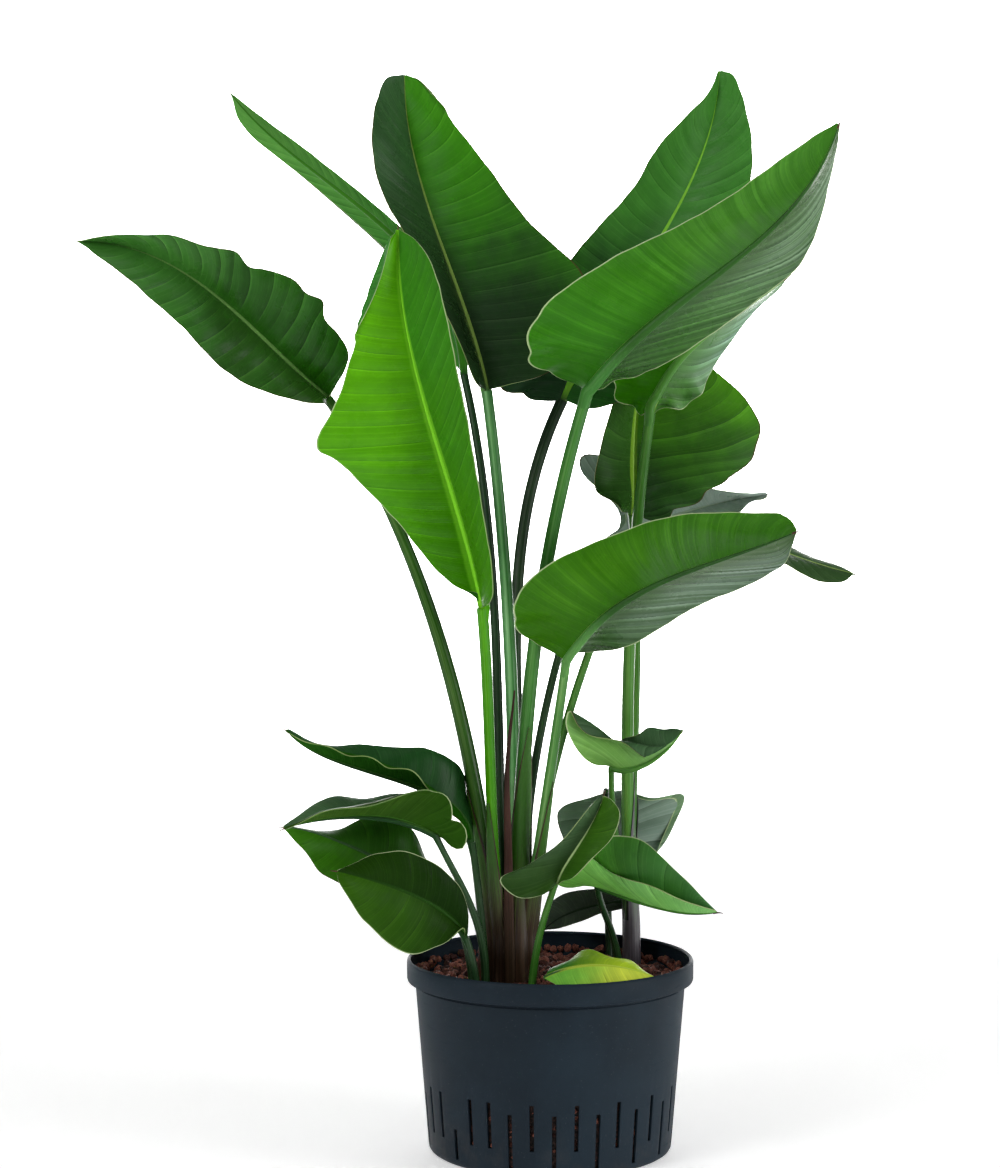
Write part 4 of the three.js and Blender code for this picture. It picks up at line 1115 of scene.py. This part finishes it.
def pot_finish():
    f = Finish("blue_grey_plastic")
    cloud = f.noise(f.place, 7, 4)
    colour = f.blend(f.ramp(cloud, 0.35, 0.65), paint(26, 37, 46), paint(33, 46, 56))
    colour = f.blend(f.ramp(f.noise(f.place, 420, 2), 0.66, 0.74, 0, 0.35), colour, paint(60, 68, 74))
    low = f.parts(f.place)[2]
    dust = f.times(f.ramp(low, 0.0, 0.06, 0.25, 0), f.ramp(f.noise(f.place, 40, 4), 0.45, 0.7))
    colour = f.blend(dust, colour, paint(70, 66, 64))
    scuffs = f.stretched(f.place, (30, 30, 260), 3)
    rough = f.plus(f.ramp(cloud, 0.3, 0.7, 0.5, 0.6), f.ramp(scuffs, 0.6, 0.8, 0, 0.12))
    f.put(Base_Color=colour, Roughness=rough, Specular_IOR_Level=0.12)
    f.bump(f.plus(f.noise(f.place, 900, 2), f.times(scuffs, 0.4)), 0.00008, 0.7)
    return f.material


build_pot()
print("slots:", len(SLOT_KINDS))

# %% [markdown]
# Clay granules
#
# The pot is filled with fired clay granules, reddish brown, angular and porous, 7 to 10 mm
# across. A dark core fills the pot and stands for the deeper granules, coloured as painted shade
# for the gaps between the granules, and loose granules lie all over its top and behind every
# slot. A granule is a small ball of forty faces, pushed out of shape and cut by a few planes; a
# handful of such stones is copied, turned and stretched over and over.

# %% Granules
def make_stone(seed):
    chance = random.Random(seed)
    stone = bmesh.new()
    bmesh.ops.create_uvsphere(stone, u_segments=8, v_segments=5, radius=1)
    for vert in stone.verts:
        vert.co *= chance.uniform(0.84, 1.12)
    for _ in range(5):
        normal = Vector([chance.gauss(0, 1) for _ in range(3)]).normalized()
        depth = chance.uniform(0.62, 0.86)
        for vert in stone.verts:
            over = vert.co.dot(normal) - depth
            if over > 0:
                vert.co -= normal * over
    data = bpy.data.meshes.new("stone_pattern")
    stone.to_mesh(data)
    stone.free()
    return data


def lay_stone(mesh, patterns, chance, place, size):
    stone = chance.choice(patterns)
    axis = Vector([chance.gauss(0, 1) for _ in range(3)]).normalized()
    stretch = Matrix.Diagonal([*(size * chance.uniform(0.75, 1.2) for _ in range(3)), 1])
    move = Matrix.Translation(place) @ Matrix.Rotation(chance.uniform(0, 6.28), 4, axis) @ stretch
    stone.transform(move)
    mesh.from_mesh(stone)
    stone.transform(move.inverted())


def make_bed():
    profile = [(0, 0.004), (0.112, 0.004), (0.1155, 0.008), (wall_radius(0.16) - 0.008, 0.16),
               (wall_radius(0.16) - 0.012, 0.1655), (0, 0.1665)]
    bed = turned(profile, 48)
    for face in bed.faces:
        face.material_index = 1
    data = bpy.data.meshes.new("granule_bed")
    bed.to_mesh(data)
    bed.free()
    return data


BED_TOP = 0.1672
STONE_PITCH = 0.0096
RING_STONES = 112


def build_granules():
    chance = random.Random(5)
    patterns = [make_stone(seed) for seed in range(8)]
    stones = bmesh.new()

    def about(amount):
        return chance.uniform(-1, 1) * amount

    def lay(place, size):
        lay_stone(stones, patterns, chance, place, size)
        laid.append(size)

    laid = []
    for row in range(-20, 21):
        for column in range(-20, 21):
            x = (column + 0.5 * (row % 2)) * STONE_PITCH + about(0.0016)
            y = row * STONE_PITCH * 0.866 + about(0.0016)
            reach = math.hypot(x, y)
            if reach < 0.1245:
                sizes = (0.0038, 0.0046) if reach > 0.119 else (0.0046, 0.0068)
                size = chance.uniform(*sizes)
                lay((x, y, BED_TOP + about(0.0022)), size)
    for i in range(RING_STONES):
        angle = 2 * math.pi * i / RING_STONES + about(0.03)
        reach = chance.uniform(0.1235, 0.1322)
        size = chance.uniform(0.0034, 0.0052)
        lay((reach * math.sin(angle), -reach * math.cos(angle),
             0.1688 + size + chance.uniform(0, 0.0018)), size)
    for i, kind in enumerate(SLOT_KINDS):
        low, high = SLOT_ENDS[kind]
        angle = math.radians(1 + 10 * i)
        z = low + 0.002
        while z < high:
            size = chance.uniform(0.0032, 0.0052)
            if chance.random() < 0.85:
                r = wall_radius(z) - WALL - size * 0.9 - chance.uniform(0, 0.003)
                swing = angle + about(0.012)
                lay((r * math.sin(swing), -r * math.cos(swing), z), size)
            z += size * 1.7
    stones.from_mesh(make_bed())
    print("stones:", len(laid))
    finish_piece("loose_granules", stones, [clay_finish(), gap_shade_finish()], ["clay_granules"],
                 sharp=28)


def clay_finish():
    f = Finish("fired_clay")
    stone_by_stone = f.node("TexVoronoi", {"Vector": f.place, "Scale": 85.0}).outputs["Color"]
    pores = f.noise(f.place, 900, 4)
    colour = f.blend(f.ramp(f.parts(stone_by_stone)[0], 0.1, 0.9), paint(58, 27, 21), paint(156, 98, 82))
    colour = f.blend(f.ramp(pores, 0.42, 0.6), f.tint(colour, (0.5, 0.45, 0.45, 1)), colour)
    f.put(Base_Color=colour, Roughness=f.ramp(pores, 0.3, 0.7, 0.95, 0.7), Specular_IOR_Level=0.3)
    f.bump(pores, 0.0006, 1.0)
    return f.material


# painted shade: the dark core seen between the granules stands for the shade in their gaps
def gap_shade_finish():
    f = Finish("granule_gap_shade")
    spots = f.noise(f.place, 260, 4)
    f.put(Base_Color=f.blend(f.ramp(spots, 0.4, 0.65), paint(16, 11, 10), paint(58, 32, 26)),
          Roughness=f.ramp(spots, 0.3, 0.7, 0.9, 0.7))
    f.bump(spots, 0.001, 1.0)
    return f.material


build_granules()
